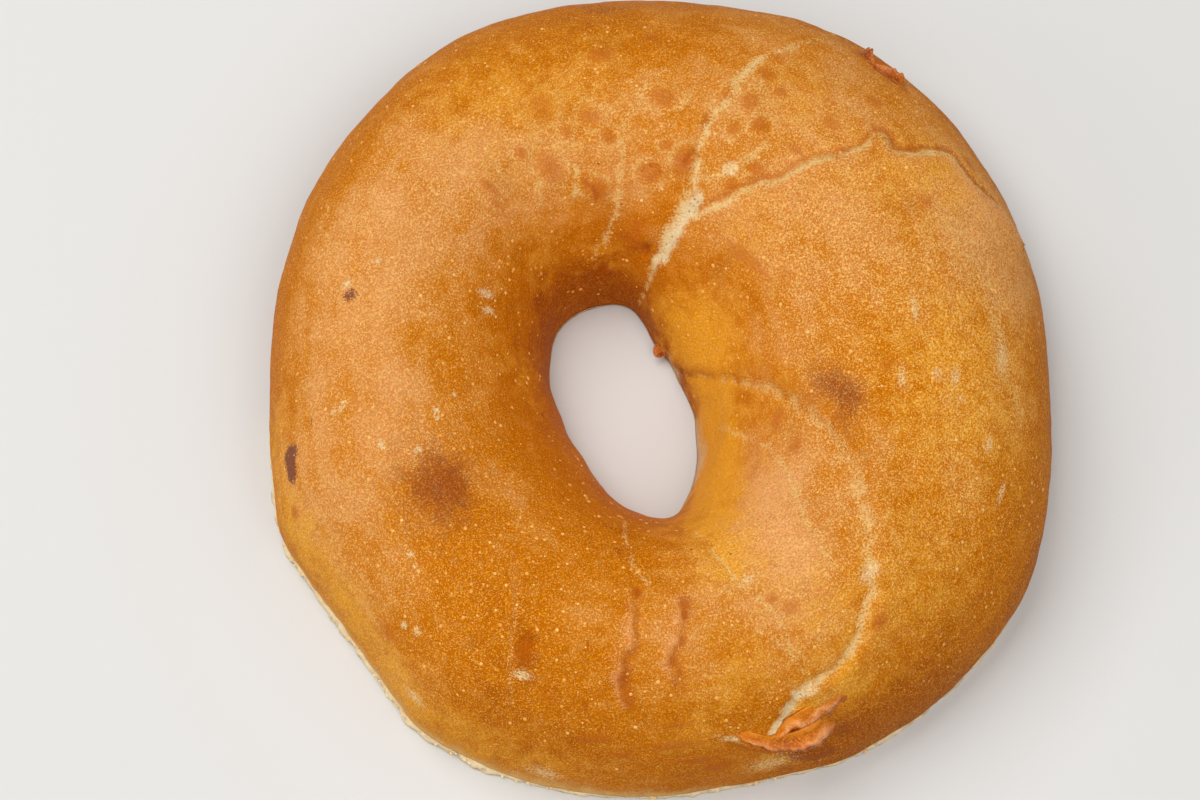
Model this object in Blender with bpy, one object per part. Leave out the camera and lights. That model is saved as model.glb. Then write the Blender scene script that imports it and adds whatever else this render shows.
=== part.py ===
"""The sliced top half of a hand-rolled sourdough bagel, lying on its cut face.

Sizes are in millimetres and become metres in the scene. +Z is up and the cut face is on z = 0.
A place on the crust is (azimuth, share). The azimuth is in degrees, counter-clockwise from +X
as seen from above. The share runs from 0 at the hole's cut edge, over the crown, to 1 at the
outer cut edge.
"""

import math

import bmesh
import bpy
import numpy as np

MM = 0.001

# The ring as a whole. Radii are those of the outer cut edge, one every 30 degrees from +X.
RING_CENTRE = (0.1, -0.6)
OUTER_RADII = (54.9, 56.4, 59.8, 59.2, 60.8, 58.2, 55.9, 59.0, 60.5, 59.2, 59.8, 59.2)

# The sides that were pressed flat: azimuth of the side, its distance from the ring's centre
# and how gently it turns into the round crust beside it.
FLAT_SIDES = ((215.0, 56.8, 0.8), (282.0, 58.6, 1.2))

# The hole is a rough oval with its long way near Y. Radii of its cut edge, every 18 degrees
# from +X.
HOLE_CENTRE = (-4.3, -2.4)
HOLE_RADII = (
    9.5, 9.0, 9.1, 10.3, 12.1, 17.3, 18.0, 17.1, 14.2, 12.0,
    10.2, 9.5, 9.5, 10.2, 12.6, 15.9, 17.9, 14.7, 12.1, 10.2,
)

# The roll of dough round the hole, every 60 degrees from +X: height of the crown, and height of
# the belt where the crust is widest. Where the knife ran high the belt was cut away. The crown
# lies this far across the roll.
CROWN_HEIGHTS = (27.5, 27.0, 25.5, 25.0, 24.0, 25.5)
BELT_HEIGHTS = (6.0, 6.5, 6.5, 4.0, 0.0, 3.0)
CROWN_SHARE = 0.56

# Broad swellings and dips: azimuth, share, reach and rise.
SWELLINGS = (
    (20.0, 0.60, 24.0, 1.6),
    (160.0, 0.60, 20.0, 0.8),
    (322.0, 0.26, 13.0, -1.6),
)

# Creases where the rope of dough was joined and folded. Each has the places that it runs
# through, the depth and half width of its groove, and the rise of the lips on its left and
# right with how far each lip reaches back. Left and right are as seen along it from above.
CREASES = {
    "joint": (
        ((85, 0.03), (79, 0.17), (73, 0.28), (69, 0.34), (73, 0.40), (72, 0.52), (68, 0.64), (58, 0.75)),
        (0.7, 1.2), (0.3, 3.0), (0.3, 3.0),
    ),
    "split": (((80, 0.18), (76, 0.23), (71, 0.31), (68, 0.34)), (1.3, 0.9), (0.3, 1.6), (0.3, 1.6)),
    "lobe": (
        ((70, 0.31), (64, 0.335), (58, 0.39), (53, 0.455), (47, 0.52), (45, 0.58), (41, 0.63), (35, 0.69),
         (28, 0.77), (19, 0.83)),
        (1.0, 1.3), (0.2, 3.0), (0.9, 8.0),
    ),
    "tongue": (
        ((50, 0.01), (28, 0.07), (8, 0.14), (-8, 0.23), (-22, 0.34), (-36, 0.46), (-48, 0.58),
         (-60, 0.68), (-69, 0.745), (-74, 0.81)),
        (0.7, 1.1), (0.8, 7.0), (0.0, 1.0),
    ),
    "tongue_fold": (((-30, 0.15), (-40, 0.31), (-50, 0.45), (-56, 0.54)), (0.0, 1.0), (0.5, 2.6), (0.5, 4.0)),
    "tongue_root": (((-72, 0.28), (-71, 0.38), (-70, 0.48)), (0.4, 1.2), (0.0, 1.0), (0.0, 1.0)),
    "tuck": (((-80, 0.79), (-75, 0.84), (-70, 0.845), (-66, 0.80)), (0.0, 1.0), (1.3, 2.4), (1.3, 0.9)),
    "under_tuck": (((-77, 0.86), (-70, 0.895), (-64, 0.87)), (0.9, 1.0), (0.0, 1.0), (0.0, 1.0)),
    "wrinkle_left": (
        ((-92, 0.45), (-94, 0.50), (-92, 0.54), (-94, 0.60), (-95, 0.65), (-94, 0.71)),
        (0.5, 0.9), (0.2, 2.0), (0.2, 2.0),
    ),
    "wrinkle_right": (
        ((-83, 0.47), (-83, 0.50), (-84, 0.56), (-86, 0.61), (-87, 0.64), (-86, 0.70)),
        (0.5, 0.9), (0.2, 2.0), (0.2, 2.0),
    ),
    "curl": (((58, 0.75), (54, 0.75), (49, 0.73)), (0.0, 1.0), (1.0, 0.8), (1.0, 0.8)),
}

# Blisters and pits in the crust: azimuth, share, reach and rise.
BLISTERS = (
    (119.0, 0.42, 2.4, 0.5),
    (112.0, 0.35, 3.0, 0.5),
    (103.0, 0.29, 2.6, 0.5),
    (130.0, 0.41, 2.8, 0.4),
    (103.0, 0.14, 2.2, 0.4),
    (89.0, 0.20, 2.2, 0.4),
    (78.0, 0.39, 2.4, 0.7),
    (99.0, 0.55, 2.4, 0.5),
    (64.0, 0.48, 2.2, 0.5),
    (248.0, 0.62, 1.7, -0.8),
)

# How finely the surface is laid out before it is thinned, and the faces that are kept.
STEPS_ROUND = 400
STEPS_ACROSS = 100
STEPS_UNDER = 4
KEPT_SHARE = 0.135

# Edges sharper than this stay sharp in shading.
SHARP_ANGLE = 50.0

# A crease fades out over this length at each end, and is followed in this many steps.
CREASE_FADE = 5.0
CREASE_STEPS = 60


def smooth_step(x):
    """0 below 0, 1 above 1 and smooth between."""
    x = np.clip(x, 0.0, 1.0)
    return x * x * (3.0 - 2.0 * x)


def smooth_min(a, b, blend):
    """The lesser of a and b, with the corner between them rounded over about blend."""
    mix = np.clip(0.5 + 0.5 * (b - a) / blend, 0.0, 1.0)
    return b + (a - b) * mix - blend * mix * (1.0 - mix)


def round_the_ring(values, azimuth):
    """A smooth closed curve through values set at equal steps round the ring."""
    values = np.asarray(values, float)
    place = np.asarray(azimuth, float) / 360.0 * len(values)
    first = np.floor(place).astype(int)
    t = place - first
    a, b, c, d = (values[(first + k) % len(values)] for k in (-1, 0, 1, 2))
    return b + 0.5 * t * ((c - a) + t * ((2 * a - 5 * b + 4 * c - d) + t * (3 * (b - c) + d - a)))


def polar(centre, radius, azimuth):
    """Points in the cut plane at that radius and azimuth from centre."""
    angle = np.radians(azimuth)
    return np.stack([centre[0] + radius * np.cos(angle), centre[1] + radius * np.sin(angle)], -1)


def outer_edge(azimuth):
    """The outer cut edge, with its flat sides."""
    radius = round_the_ring(OUTER_RADII, azimuth)
    for side, distance, blend in FLAT_SIDES:
        facing = np.cos(np.radians(np.asarray(azimuth, float) - side))
        chord = distance / np.maximum(facing, 0.2)
        radius = smooth_min(radius, chord, blend)
    return polar(RING_CENTRE, radius, azimuth)


def hole_edge(azimuth):
    """The cut edge round the hole."""
    return polar(HOLE_CENTRE, round_the_ring(HOLE_RADII, azimuth), azimuth)


def plain_crust(azimuth, share):
    """Points on the smooth crust: an oval's quarter up from the hole, and one down past the belt."""
    azimuth, share = np.broadcast_arrays(np.asarray(azimuth, float), np.asarray(share, float))
    inner, outer = hole_edge(azimuth), outer_edge(azimuth)
    crown = round_the_ring(CROWN_HEIGHTS, azimuth)
    belt = round_the_ring(BELT_HEIGHTS, azimuth)
    dip = np.arcsin(belt / (crown - belt))
    past = np.clip(2.0 * share - 1.0, 0.0, 1.0) * (math.pi / 2.0 + dip)
    short = np.clip(1.0 - 2.0 * share, 0.0, 1.0) * math.pi / 2.0
    across = CROWN_SHARE * (1.0 - np.sin(short))
    across += (1.0 - CROWN_SHARE) * np.sin(past) / np.cos(dip)
    flat = inner + (outer - inner) * across[..., None]
    height = np.where(share < 0.5, crown * np.cos(short), belt + (crown - belt) * np.cos(past))
    return np.concatenate([flat, height[..., None]], -1)


def outward(azimuth, share):
    """Unit normals of the smooth crust."""
    small = 0.02
    round_ = plain_crust(azimuth + small, share) - plain_crust(azimuth - small, share)
    over = plain_crust(azimuth, share + small / 50) - plain_crust(azimuth, share - small / 50)
    normal = np.cross(over, round_)
    return normal / np.linalg.norm(normal, axis=-1, keepdims=True)


def bump(away, reach):
    """1 in the middle of a bump, fading to 0 a little past its reach."""
    return np.exp(-((away / reach) ** 2))


def swelling_rise(points):
    """How far swellings, blisters and pits lift each point."""
    rise = np.zeros(points.shape[:-1])
    for azimuth, share, reach, height in SWELLINGS + BLISTERS:
        away = np.linalg.norm(points - plain_crust(azimuth, share), axis=-1)
        rise += height * bump(away, reach)
    return rise


def smooth_path(places):
    """A smooth line on the crust through the places."""
    knots = np.asarray(places, float)
    knots = np.concatenate([2 * knots[:1] - knots[1:2], knots, 2 * knots[-1:] - knots[-2:-1]])
    place = np.linspace(0.0, len(places) - 1.0, CREASE_STEPS)
    first = np.minimum(place.astype(int), len(places) - 2)
    t = (place - first)[:, None]
    a, b, c, d = (knots[first + k] for k in range(4))
    path = b + 0.5 * t * ((c - a) + t * ((2 * a - 5 * b + 4 * c - d) + t * (3 * (b - c) + d - a)))
    return plain_crust(path[:, 0], np.clip(path[:, 1], 0.0, 1.0))


def crease_rise(points, normals, crease):
    """How far one crease sinks each point, and its lips lift it."""
    places, (depth, width), left_lip, right_lip = crease
    path = smooth_path(places)
    ahead = np.gradient(path, axis=0)
    ahead /= np.linalg.norm(ahead, axis=1, keepdims=True)
    run = np.concatenate([[0.0], np.cumsum(np.linalg.norm(np.diff(path, axis=0), axis=1))])
    nearest = np.argmin(np.linalg.norm(points[..., None, :] - path, axis=-1), axis=-1)
    offset = points - path[nearest]
    half_step = 0.5 * run[-1] / (CREASE_STEPS - 1)
    further = np.clip((offset * ahead[nearest]).sum(-1), -half_step, half_step)
    offset -= further[..., None] * ahead[nearest]
    away = np.linalg.norm(offset, axis=-1)
    leftward = (np.cross(ahead[nearest], offset) * normals).sum(-1)
    along = run[nearest] + further
    to_end = np.minimum(along, run[-1] - along)
    fade = smooth_step(to_end / CREASE_FADE + 0.1)
    (left_rise, left_reach), (right_rise, right_reach) = left_lip, right_lip
    blend = smooth_step(0.5 + 0.5 * leftward / width)
    lip = left_rise * bump(away, left_reach) * blend + right_rise * bump(away, right_reach) * (1.0 - blend)
    return (lip - depth * bump(away, width)) * fade


def crust_surface(azimuth, share):
    """Points on the crust with its swellings, blisters and creases."""
    points = plain_crust(azimuth, share)
    normals = outward(azimuth, share)
    rise = swelling_rise(points)
    for crease in CREASES.values():
        rise += crease_rise(points, normals, crease)
    return points + normals * rise[..., None]


def ring_mesh(name):
    """The closed ring: the crust over the top, and the flat cut face from its outer edge back."""
    azimuth = np.arange(STEPS_ROUND)[:, None] * 360.0 / STEPS_ROUND
    crust = crust_surface(azimuth, np.linspace(0.0, 1.0, STEPS_ACROSS + 1)[None, :])
    crust[:, [0, -1], 2] = 0.0
    back = np.linspace(0.0, 1.0, STEPS_UNDER + 1)[1:-1, None]
    under = crust[:, -1:] * (1.0 - back) + crust[:, :1] * back
    loops = np.concatenate([crust, under], axis=1)
    steps = loops.shape[1]
    ring = bmesh.new()
    verts = [[ring.verts.new(point * MM) for point in loop] for loop in loops]
    for here, after in zip(verts, verts[1:] + verts[:1]):
        for k in range(steps):
            nxt = (k + 1) % steps
            ring.faces.new((here[k], here[nxt], after[nxt], after[k]))
    bmesh.ops.recalc_face_normals(ring, faces=ring.faces)
    mesh = bpy.data.meshes.new(name)
    ring.to_mesh(mesh)
    ring.free()
    mesh.shade_smooth()
    mesh.set_sharp_from_angle(angle=math.radians(SHARP_ANGLE))
    return mesh


def crust_material():
    """Golden baked crust with a soft sheen."""
    material = bpy.data.materials.new("baked_crust")
    material.use_nodes = True
    shader = material.node_tree.nodes["Principled BSDF"]
    shader.inputs["Base Color"].default_value = (0.66, 0.27, 0.06, 1.0)
    shader.inputs["Roughness"].default_value = 0.5
    shader.inputs["Metallic"].default_value = 0.0
    return material


def bagel_half():
    """The half bagel, thinned to the faces that its form needs."""
    mesh = ring_mesh("bagel_half")
    mesh.materials.append(crust_material())
    half = bpy.data.objects.new("bagel_half", mesh)
    bpy.context.scene.collection.objects.link(half)
    thin = half.modifiers.new("thin", "DECIMATE")
    thin.ratio = KEPT_SHARE
    return half


def main():
    for old in list(bpy.data.objects):
        bpy.data.objects.remove(old)
    bagel_half()


main()
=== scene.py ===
"""The looks of the sliced top half of a hand-rolled sourdough bagel, lying on its cut face.

Sizes are in millimetres and become metres in the meshes. +Z is up and the cut face is on z = 0.
A place on the crust is (azimuth, share). The azimuth is in degrees, counter-clockwise from +X
as seen from above. The share runs from 0 at the hole's cut edge, over the crown, to 1 at the
outer cut edge. The form is the solid's own, from the same sizes, laid out more finely. The
marks on it were set one by one, and most lists of them run round the ring by azimuth.
"""

import math

import bpy
import numpy as np
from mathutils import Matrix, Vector


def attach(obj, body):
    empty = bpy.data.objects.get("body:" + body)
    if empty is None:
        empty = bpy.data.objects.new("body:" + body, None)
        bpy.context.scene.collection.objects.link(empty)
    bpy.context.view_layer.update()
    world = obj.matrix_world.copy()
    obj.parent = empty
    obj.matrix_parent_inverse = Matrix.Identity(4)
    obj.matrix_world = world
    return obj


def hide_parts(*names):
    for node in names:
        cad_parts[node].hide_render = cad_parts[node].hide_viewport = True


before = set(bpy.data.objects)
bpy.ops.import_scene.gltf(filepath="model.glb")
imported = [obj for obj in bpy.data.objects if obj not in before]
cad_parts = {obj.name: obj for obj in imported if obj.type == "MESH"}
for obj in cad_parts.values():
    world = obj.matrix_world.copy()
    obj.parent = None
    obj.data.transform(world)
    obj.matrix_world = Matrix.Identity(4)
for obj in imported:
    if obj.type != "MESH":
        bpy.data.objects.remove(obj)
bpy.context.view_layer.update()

MM = 0.001
BODY = "root"

# The form, as in the solid. Radii and heights are at equal steps round the ring. A flat side
# has an azimuth, a distance from the ring's centre, and how softly it meets the round. The
# crown's place is its share of the way from the hole's cut edge to the outer one.
RING_CENTRE = (0.1, -0.6)
OUTER_RADII = (54.9, 56.4, 59.8, 59.2, 60.8, 58.2, 55.9, 59.0, 60.5, 59.2, 59.8, 59.2)
FLAT_SIDES = ((215.0, 56.8, 0.8), (282.0, 58.6, 1.2))
HOLE_CENTRE = (-4.3, -2.4)
HOLE_RADII = (
    9.5, 9.0, 9.1, 10.3, 12.1, 17.3, 18.0, 17.1, 14.2, 12.0,
    10.2, 9.5, 9.5, 10.2, 12.6, 15.9, 17.9, 14.7, 12.1, 10.2,
)
CROWN_HEIGHTS = (27.5, 27.0, 25.5, 25.0, 24.0, 25.5)
BELT_HEIGHTS = (6.0, 6.5, 6.5, 4.0, 0.0, 3.0)
CROWN_SHARE = 0.56

# Broad rises of the crust: azimuth, share, reach and height.
SWELLINGS = ((20, 0.6, 24, 1.6), (160, 0.6, 20, 0.8), (322, 0.26, 13, -1.6))

# Creases by name: the places along each, its depth and half width, then how high the lips on
# its left and on its right stand and how far each reaches.
CREASES = {
    "joint": (
        (
            (85, 0.03), (80, 0.17), (77.5, 0.25), (74.5, 0.303), (73, 0.342), (74, 0.381), (75, 0.411),
            (74.5, 0.447), (73, 0.483), (72, 0.519), (72, 0.553), (70, 0.6), (67, 0.65), (64, 0.703),
            (58, 0.75),
        ),
        (0.7, 1.0), (0.3, 3), (0.3, 3),
    ),
    "split": (((80, 0.18), (76, 0.23), (71, 0.31), (68, 0.34)), (1.3, 0.9), (0.3, 1.6), (0.3, 1.6)),
    "lobe": (
        (
            (70, 0.31), (64.5, 0.342), (62, 0.356), (58.5, 0.389), (55.5, 0.411), (52.5, 0.431),
            (51.5, 0.453), (49, 0.492), (46, 0.522), (45, 0.556), (45, 0.592), (43.5, 0.611),
            (40.5, 0.602), (38.5, 0.625), (37, 0.678), (35.5, 0.704), (32, 0.706), (28, 0.728),
            (19, 0.83),
        ),
        (1.0, 0.8), (0.2, 3), (0.9, 6),
    ),
    "tongue": (
        (
            (50, 0.01), (28, 0.07), (8, 0.14), (-4, 0.206), (-9.5, 0.264), (-14.5, 0.292), (-19, 0.333),
            (-23.5, 0.372), (-27, 0.403), (-30.5, 0.425), (-33.5, 0.456), (-37.5, 0.478), (-40, 0.503),
            (-42.5, 0.531), (-45.5, 0.55), (-48, 0.575), (-49.5, 0.59), (-50, 0.606), (-51.5, 0.62),
            (-54.5, 0.642), (-57.5, 0.675), (-60.5, 0.694), (-63, 0.703), (-65.5, 0.706), (-68, 0.717),
            (-70, 0.744), (-71.5, 0.772), (-72.5, 0.792), (-74.5, 0.814),
        ),
        (0.7, 0.9), (0.8, 6), (0.0, 1.0),
    ),
    "tongue_fold": (
        (
            (-27, 0.128), (-32, 0.208), (-35.5, 0.283), (-44, 0.367), (-48.5, 0.417), (-50.5, 0.453),
            (-53.5, 0.519),
        ),
        (0.0, 1.0), (0.5, 2.6), (0.5, 4),
    ),
    "tongue_root": (((-72, 0.28), (-71, 0.38), (-70, 0.48)), (0.4, 1.2), (0.0, 1.0), (0.0, 1.0)),
    "tuck": (((-80, 0.79), (-75, 0.84), (-70, 0.845), (-66, 0.8)), (0.0, 1.0), (1.3, 2.4), (1.3, 0.9)),
    "under_tuck": (((-77, 0.86), (-70, 0.895), (-64, 0.87)), (0.9, 1.0), (0.0, 1.0), (0.0, 1.0)),
    "wrinkle_left": (
        (
            (-92, 0.45), (-92.5, 0.517), (-93, 0.575), (-94.7, 0.594), (-95, 0.625), (-95, 0.661),
            (-94.3, 0.7),
        ),
        (0.5, 0.65), (0.1, 1.5), (0.9, 1.1),
    ),
    "wrinkle_right": (
        (
            (-82.5, 0.467), (-83, 0.49), (-84, 0.53), (-85, 0.561), (-86.7, 0.6), (-86.3, 0.63),
            (-86.5, 0.685),
        ),
        (0.45, 0.65), (0.1, 1.5), (0.8, 1.0),
    ),
    "curl": (((58, 0.75), (54, 0.75), (49, 0.73)), (0.0, 1.0), (1.0, 0.8), (1.0, 0.8)),
}

# Over how much of its length a crease fades at each end, and how many points a line is drawn
# with.
CREASE_FADE = 5.0
CREASE_STEPS = 72

# How deep some grooves are at equal steps along them, as a share of their full depth.
GROOVE_DEPTHS = {
    "joint": (0.4, 0.9, 1.0, 0.8, 0.35, 0.25, 0.25, 0.2),
    "lobe": (0.5, 0.5, 0.5, 0.6, 0.7, 0.7, 0.5, 0.3),
    "tongue": (1.0, 0.8, 0.6, 0.3, 0.25, 0.35, 0.6, 1.0, 1.1),
}

# Blisters, pits and smaller bumps, in the same way as the swellings.
BLISTERS = (
    (64, 0.48, 2.2, 0.5), (78, 0.39, 2.4, 0.7), (89, 0.2, 2.2, 0.4), (99, 0.55, 2.4, 0.5),
    (103, 0.14, 2.2, 0.4), (103, 0.29, 2.6, 0.5), (112, 0.35, 3, 0.5), (119, 0.42, 2.4, 0.5),
    (130, 0.41, 2.8, 0.4), (248, 0.62, 1.7, -0.8),
)
SMALL_BLISTERS = (
    (77, 0.36, 1.0, 0.3), (84, 0.19, 0.8, -0.4), (102, 0.14, 0.8, -0.3), (247.5, 0.665, 1.2, 0.35),
    (265.5, 0.486, 0.5, 0.25), (268, 0.45, 0.9, -0.3), (291, 0.758, 1.3, -0.6),
)

# Lumps of the dough at three sizes: height, size across and seed.
LUMPS = ((0.25, 10.0, 1), (0.14, 3.4, 2), (0.06, 1.3, 3))

# How creases and lines waver: how far to the side, the size of their waves and seed.
WAVER = ((0.30, 2.8, 50), (0.30, 1.1, 60))

# Fine ripples across the tongue of dough: place, reach, direction, spacing and height.
RIPPLES = ((325, 0.35), 3.6, (0.35, -1.0), 1.15, 0.10)

# Lines along creases: how far to the left each lies, then its half widths and its strengths at
# equal steps from the crease's start to its end. First the unbrowned bands.
PALE_CREASES = {
    "joint": (0.0, (0.3, 0.6, 0.7, 0.6, 0.6, 0.7, 0.6, 0.4), (0.5, 0.9, 1.0, 0.9, 1.0, 0.9, 0.7, 0.3)),
    "lobe": (-0.75, (0.5, 0.55, 0.5, 0.5, 0.7, 0.9, 0.9, 0.7), (0.9, 1.0, 0.9, 0.8, 0.9, 1.0, 0.8, 0.4)),
    "tongue": (
        -0.3, (0.3, 0.35, 0.5, 0.9, 1.2, 1.1, 0.9, 0.5, 0.5, 0.6),
        (0.5, 0.65, 0.6, 0.6, 0.6, 0.65, 0.75, 1.0, 1.0, 1.0),
    ),
    "tongue_fold": (0.2, (0.4, 0.5, 0.6, 0.4), (0.5, 0.6, 0.7, 0.5)),
    "tongue_root": (0.0, (0.3, 0.5, 0.3), (0.5, 0.7, 0.3)),
}

# Dark lines: painted shade on the shaded walls of the creases, browned in places.
CREASE_SHADE_LINES = {
    "lobe": (0.4, (0.5, 0.6, 0.4, 0.45, 0.5, 0.6, 0.6, 0.5), (0.6, 0.8, 0.6, 0.6, 1.0, 1.2, 1.1, 0.7)),
    "tongue": (1.3, (0.4, 0.5, 1.0, 1.3, 0.8, 0.5, 0.4, 0.4), (0.1, 0.25, 0.4, 0.45, 0.3, 0.2, 0.2, 0.4)),
    "tuck": (-0.4, (0.9, 1.0, 1.2, 0.8), (0.6, 0.8, 0.6, 0.2)),
    "wrinkle_left": (0.2, (0.6, 0.5, 0.6, 0.9, 0.8), (0.6, 0.5, 0.6, 0.9, 1.3)),
    "wrinkle_right": (0.2, (0.9, 0.5, 0.7, 0.7, 0.6), (1.2, 0.4, 0.7, 0.6, 0.5)),
    "curl": (0.0, (0.9, 0.9), (0.8, 0.8)),
}

# Painted highlights in rosy gold on the lit lips of the creases.
LIP_HIGHLIGHTS = {
    "wrinkle_left": (-1.0, (0.6, 0.8, 0.9, 1.0, 0.7), (0.4, 0.6, 0.7, 0.8, 0.5)),
    "wrinkle_right": (-0.9, (0.7, 0.8, 0.9, 0.7, 0.6), (0.6, 0.75, 0.7, 0.5, 0.3)),
    "lobe": (-1.6, (0.6, 0.8, 0.8, 0.8, 0.9, 1.2, 1.4, 1.0), (0.3, 0.4, 0.4, 0.4, 0.5, 0.7, 0.9, 0.7)),
}

# Thin stretch lines in the crust: places, half width and strength.
STRETCH_LINES = (
    (((242.5, 0.495), (244.3, 0.56), (245.3, 0.62), (247, 0.7), (248, 0.76)), 0.35, 0.45),
    (((126, 0.425), (127, 0.395)), 0.4, 0.55), (((120, 0.461), (122.5, 0.411)), 0.5, 0.5),
    (((118, 0.411), (119, 0.381)), 0.4, 0.5), (((118, 0.356), (120, 0.303)), 0.5, 0.5),
    (((107.5, 0.342), (108, 0.315), (109, 0.288)), 0.5, 0.9),
    (((95, 0.375), (95, 0.32), (96, 0.245), (97.5, 0.225), (100, 0.18)), 0.5, 0.8),
    (((103.5, 0.18), (105.5, 0.147)), 0.4, 0.5), (((84.5, 0.3), (82, 0.344), (81.5, 0.375)), 0.5, 0.5),
    (((94.5, 0.4), (92, 0.436), (91, 0.467), (89.5, 0.489), (86.5, 0.525)), 0.6, 0.5),
    (((82.5, 0.458), (79.5, 0.495)), 0.5, 0.5),
    (((70, 0.37), (65, 0.39), (62, 0.42), (60, 0.46)), 0.65, 0.6),
    (((66, 0.46), (66, 0.51), (69, 0.56)), 0.45, 0.55),
    (((266, 0.26), (266, 0.33), (268, 0.39), (271, 0.43)), 0.35, 0.6),
    (((289, 0.56), (292, 0.62), (293, 0.68)), 0.35, 0.7),
    (((234, 0.38), (242, 0.52), (245, 0.61), (246, 0.68)), 0.25, 0.35),
    (((277, 0.79), (280, 0.795), (282.5, 0.815)), 0.35, 0.6),
    (((24, 0.62), (12, 0.66), (0, 0.68), (-10, 0.72)), 1.4, 0.45),
    (((353, 0.5), (350, 0.5), (348, 0.51)), 0.6, 0.5),
    (((290, 0.44), (291, 0.48), (293, 0.54), (293, 0.6), (294, 0.66)), 0.35, 0.6),
    (((289, 0.405), (290, 0.44), (292, 0.505)), 0.35, 0.6),
)

# Thin creases in the reddened blisters, with painted shade along them: places and half width.
ARC_SHADE_LINES = (
    (((77, 0.365), (77, 0.385), (75.5, 0.402), (73.5, 0.398)), 0.38),
    (((105, 0.308), (103.5, 0.3), (102, 0.285), (103, 0.268)), 0.36),
    (((86.5, 0.175), (85, 0.19), (82, 0.212)), 0.38),
    (((89, 0.325), (87, 0.342), (84.5, 0.345), (83, 0.33)), 0.3),
    (((99, 0.145), (101, 0.125), (104, 0.12)), 0.32),
)

# Splits where the crumb shows: places and half width.
SPLITS = (
    (((80, 0.17), (76, 0.23), (72, 0.31), (69.5, 0.35)), 0.8),
    (((-65, 0.708), (-68, 0.722), (-70, 0.738), (-71.8, 0.765), (-72.8, 0.792), (-74.8, 0.818)), 0.55),
)

# Soft round patches: azimuth, share, reach and strength. The first ones add to the crust's
# paleness, which is about 0 at amber and 1 at rosy gold. Besides the crust's own paler and deeper
# patches, many of them are painted light: painted sheen where they add and painted shade where
# they take away.
PALENESS_SHEEN_SHADE = (
    (0, 0.5, 10, 0.1), (14, 0.76, 8, 0.2), (15, 0.66, 9, 0.3), (20, 0.76, 8, 0.35), (30, 0.5, 12, 0.1),
    (30, 0.8, 7, 0.25), (33, 0.7, 7, 0.4), (48, 0.37, 8, 0.25), (50, 0.5, 8, 0.2), (57, 0.37, 7, -0.2),
    (60, 0.6, 8, 0.2), (60, 0.66, 7, -0.15), (70, 0.06, 5, -0.4), (72, 0.43, 5, 0.3), (80, 0.6, 9, -0.25),
    (95, 0.7, 8, -0.2), (103, 0.64, 12, -0.6), (106, 0.36, 9, 0.3), (108, 0.08, 9, -0.5),
    (120, 0.6, 8, -0.2), (122, 0.68, 8, -0.25), (125, 0.46, 9, 0.15), (140, 0.1, 9, -0.5),
    (143, 0.69, 9, -0.3), (148, 0.44, 8, 0.15), (148, 0.54, 14, 0.35), (152, 0.33, 8, -0.35),
    (160, 0.74, 8, -0.3), (170, 0.38, 7, -0.3), (175, 0.5, 15, 0.25), (184, 0.35, 7, -0.3),
    (190, 0.82, 10, 0.3), (200, 0.55, 9, 0.2), (205, 0.86, 6, 0.3), (207, 0.18, 8, -0.5),
    (207, 0.75, 6, 0.25), (212, 0.7, 11, 0.25), (218, 0.88, 6, 0.4), (225, 0.5, 12, -0.3),
    (229, 0.69, 8, -0.3), (231, 0.9, 6, 0.3), (242, 0.56, 9, -0.3), (245, 0.67, 6, -0.3),
    (245, 0.7, 9, -0.35), (248, 0.24, 8, -0.4), (248, 0.82, 8, -0.3), (250, 0.6, 10, -0.15),
    (252, 0.42, 7, -0.2), (253, 0.82, 8, -0.3), (262, 0.72, 8, -0.2), (264, 0.34, 8, -0.3),
    (264, 0.76, 8, -0.25), (265, 0.34, 7, -0.25), (270, 0.86, 7, -0.2), (282, 0.7, 9, -0.15),
    (292, 0.22, 6, -0.4), (297, 0.43, 8, 0.6), (297, 0.74, 5, 0.4), (298, 0.88, 5, -0.3),
    (305, 0.53, 7, 0.25), (305, 0.84, 11, -0.5), (310, 0.33, 8, 0.8), (317, 0.77, 8, -0.2),
    (318, 0.56, 7, -0.25), (326, 0.6, 12, -0.1), (330, 0.72, 7, -0.2), (332, 0.88, 6, -0.35),
    (335, 0.75, 8, -0.15), (344, 0.48, 8, -0.15), (355, 0.47, 6, -0.2), (357, 0.53, 12, -0.3),
)

# Where the crust is a clear yellow gold.
HONEY = (
    (0, 0.6, 13, 0.35), (5, 0.16, 6, 0.35), (20, 0.16, 8, 0.4), (30, 0.64, 8, 0.25), (34, 0.68, 6, 0.3),
    (38, 0.14, 8, 0.5), (40, 0.54, 8, 0.25), (48, 0.35, 7, 0.3), (55, 0.12, 6, 0.4), (62, 0.56, 8, 0.25),
    (100, 0.16, 3.5, 0.35), (110, 0.48, 12, 0.3), (125, 0.58, 9, 0.2), (128, 0.23, 5, 0.3),
    (172, 0.28, 5, 0.15), (180, 0.2, 4, 0.35), (192, 0.86, 7, 0.5), (205, 0.86, 6.5, 0.7),
    (218, 0.88, 6.5, 0.7), (231, 0.9, 6.5, 0.7), (243, 0.91, 6, 0.6), (255, 0.92, 6, 0.4),
    (275, 0.77, 5, 0.4), (283, 0.66, 5, 0.5), (286, 0.91, 5, 0.5), (290, 0.4, 5, 0.7),
    (291, 0.758, 1.6, 0.9), (295, 0.27, 6, 0.8), (298, 0.74, 5, 0.6), (300, 0.58, 7, 0.35),
    (305, 0.17, 6, 1.0), (316, 0.66, 9, 0.45), (318, 0.13, 5.5, 1.0), (326, 0.33, 4.5, 0.35),
    (332, 0.11, 5, 0.9), (342, 0.62, 13, 0.35), (345, 0.09, 5, 0.7), (346, 0.3, 4.5, 0.35),
)
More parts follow.
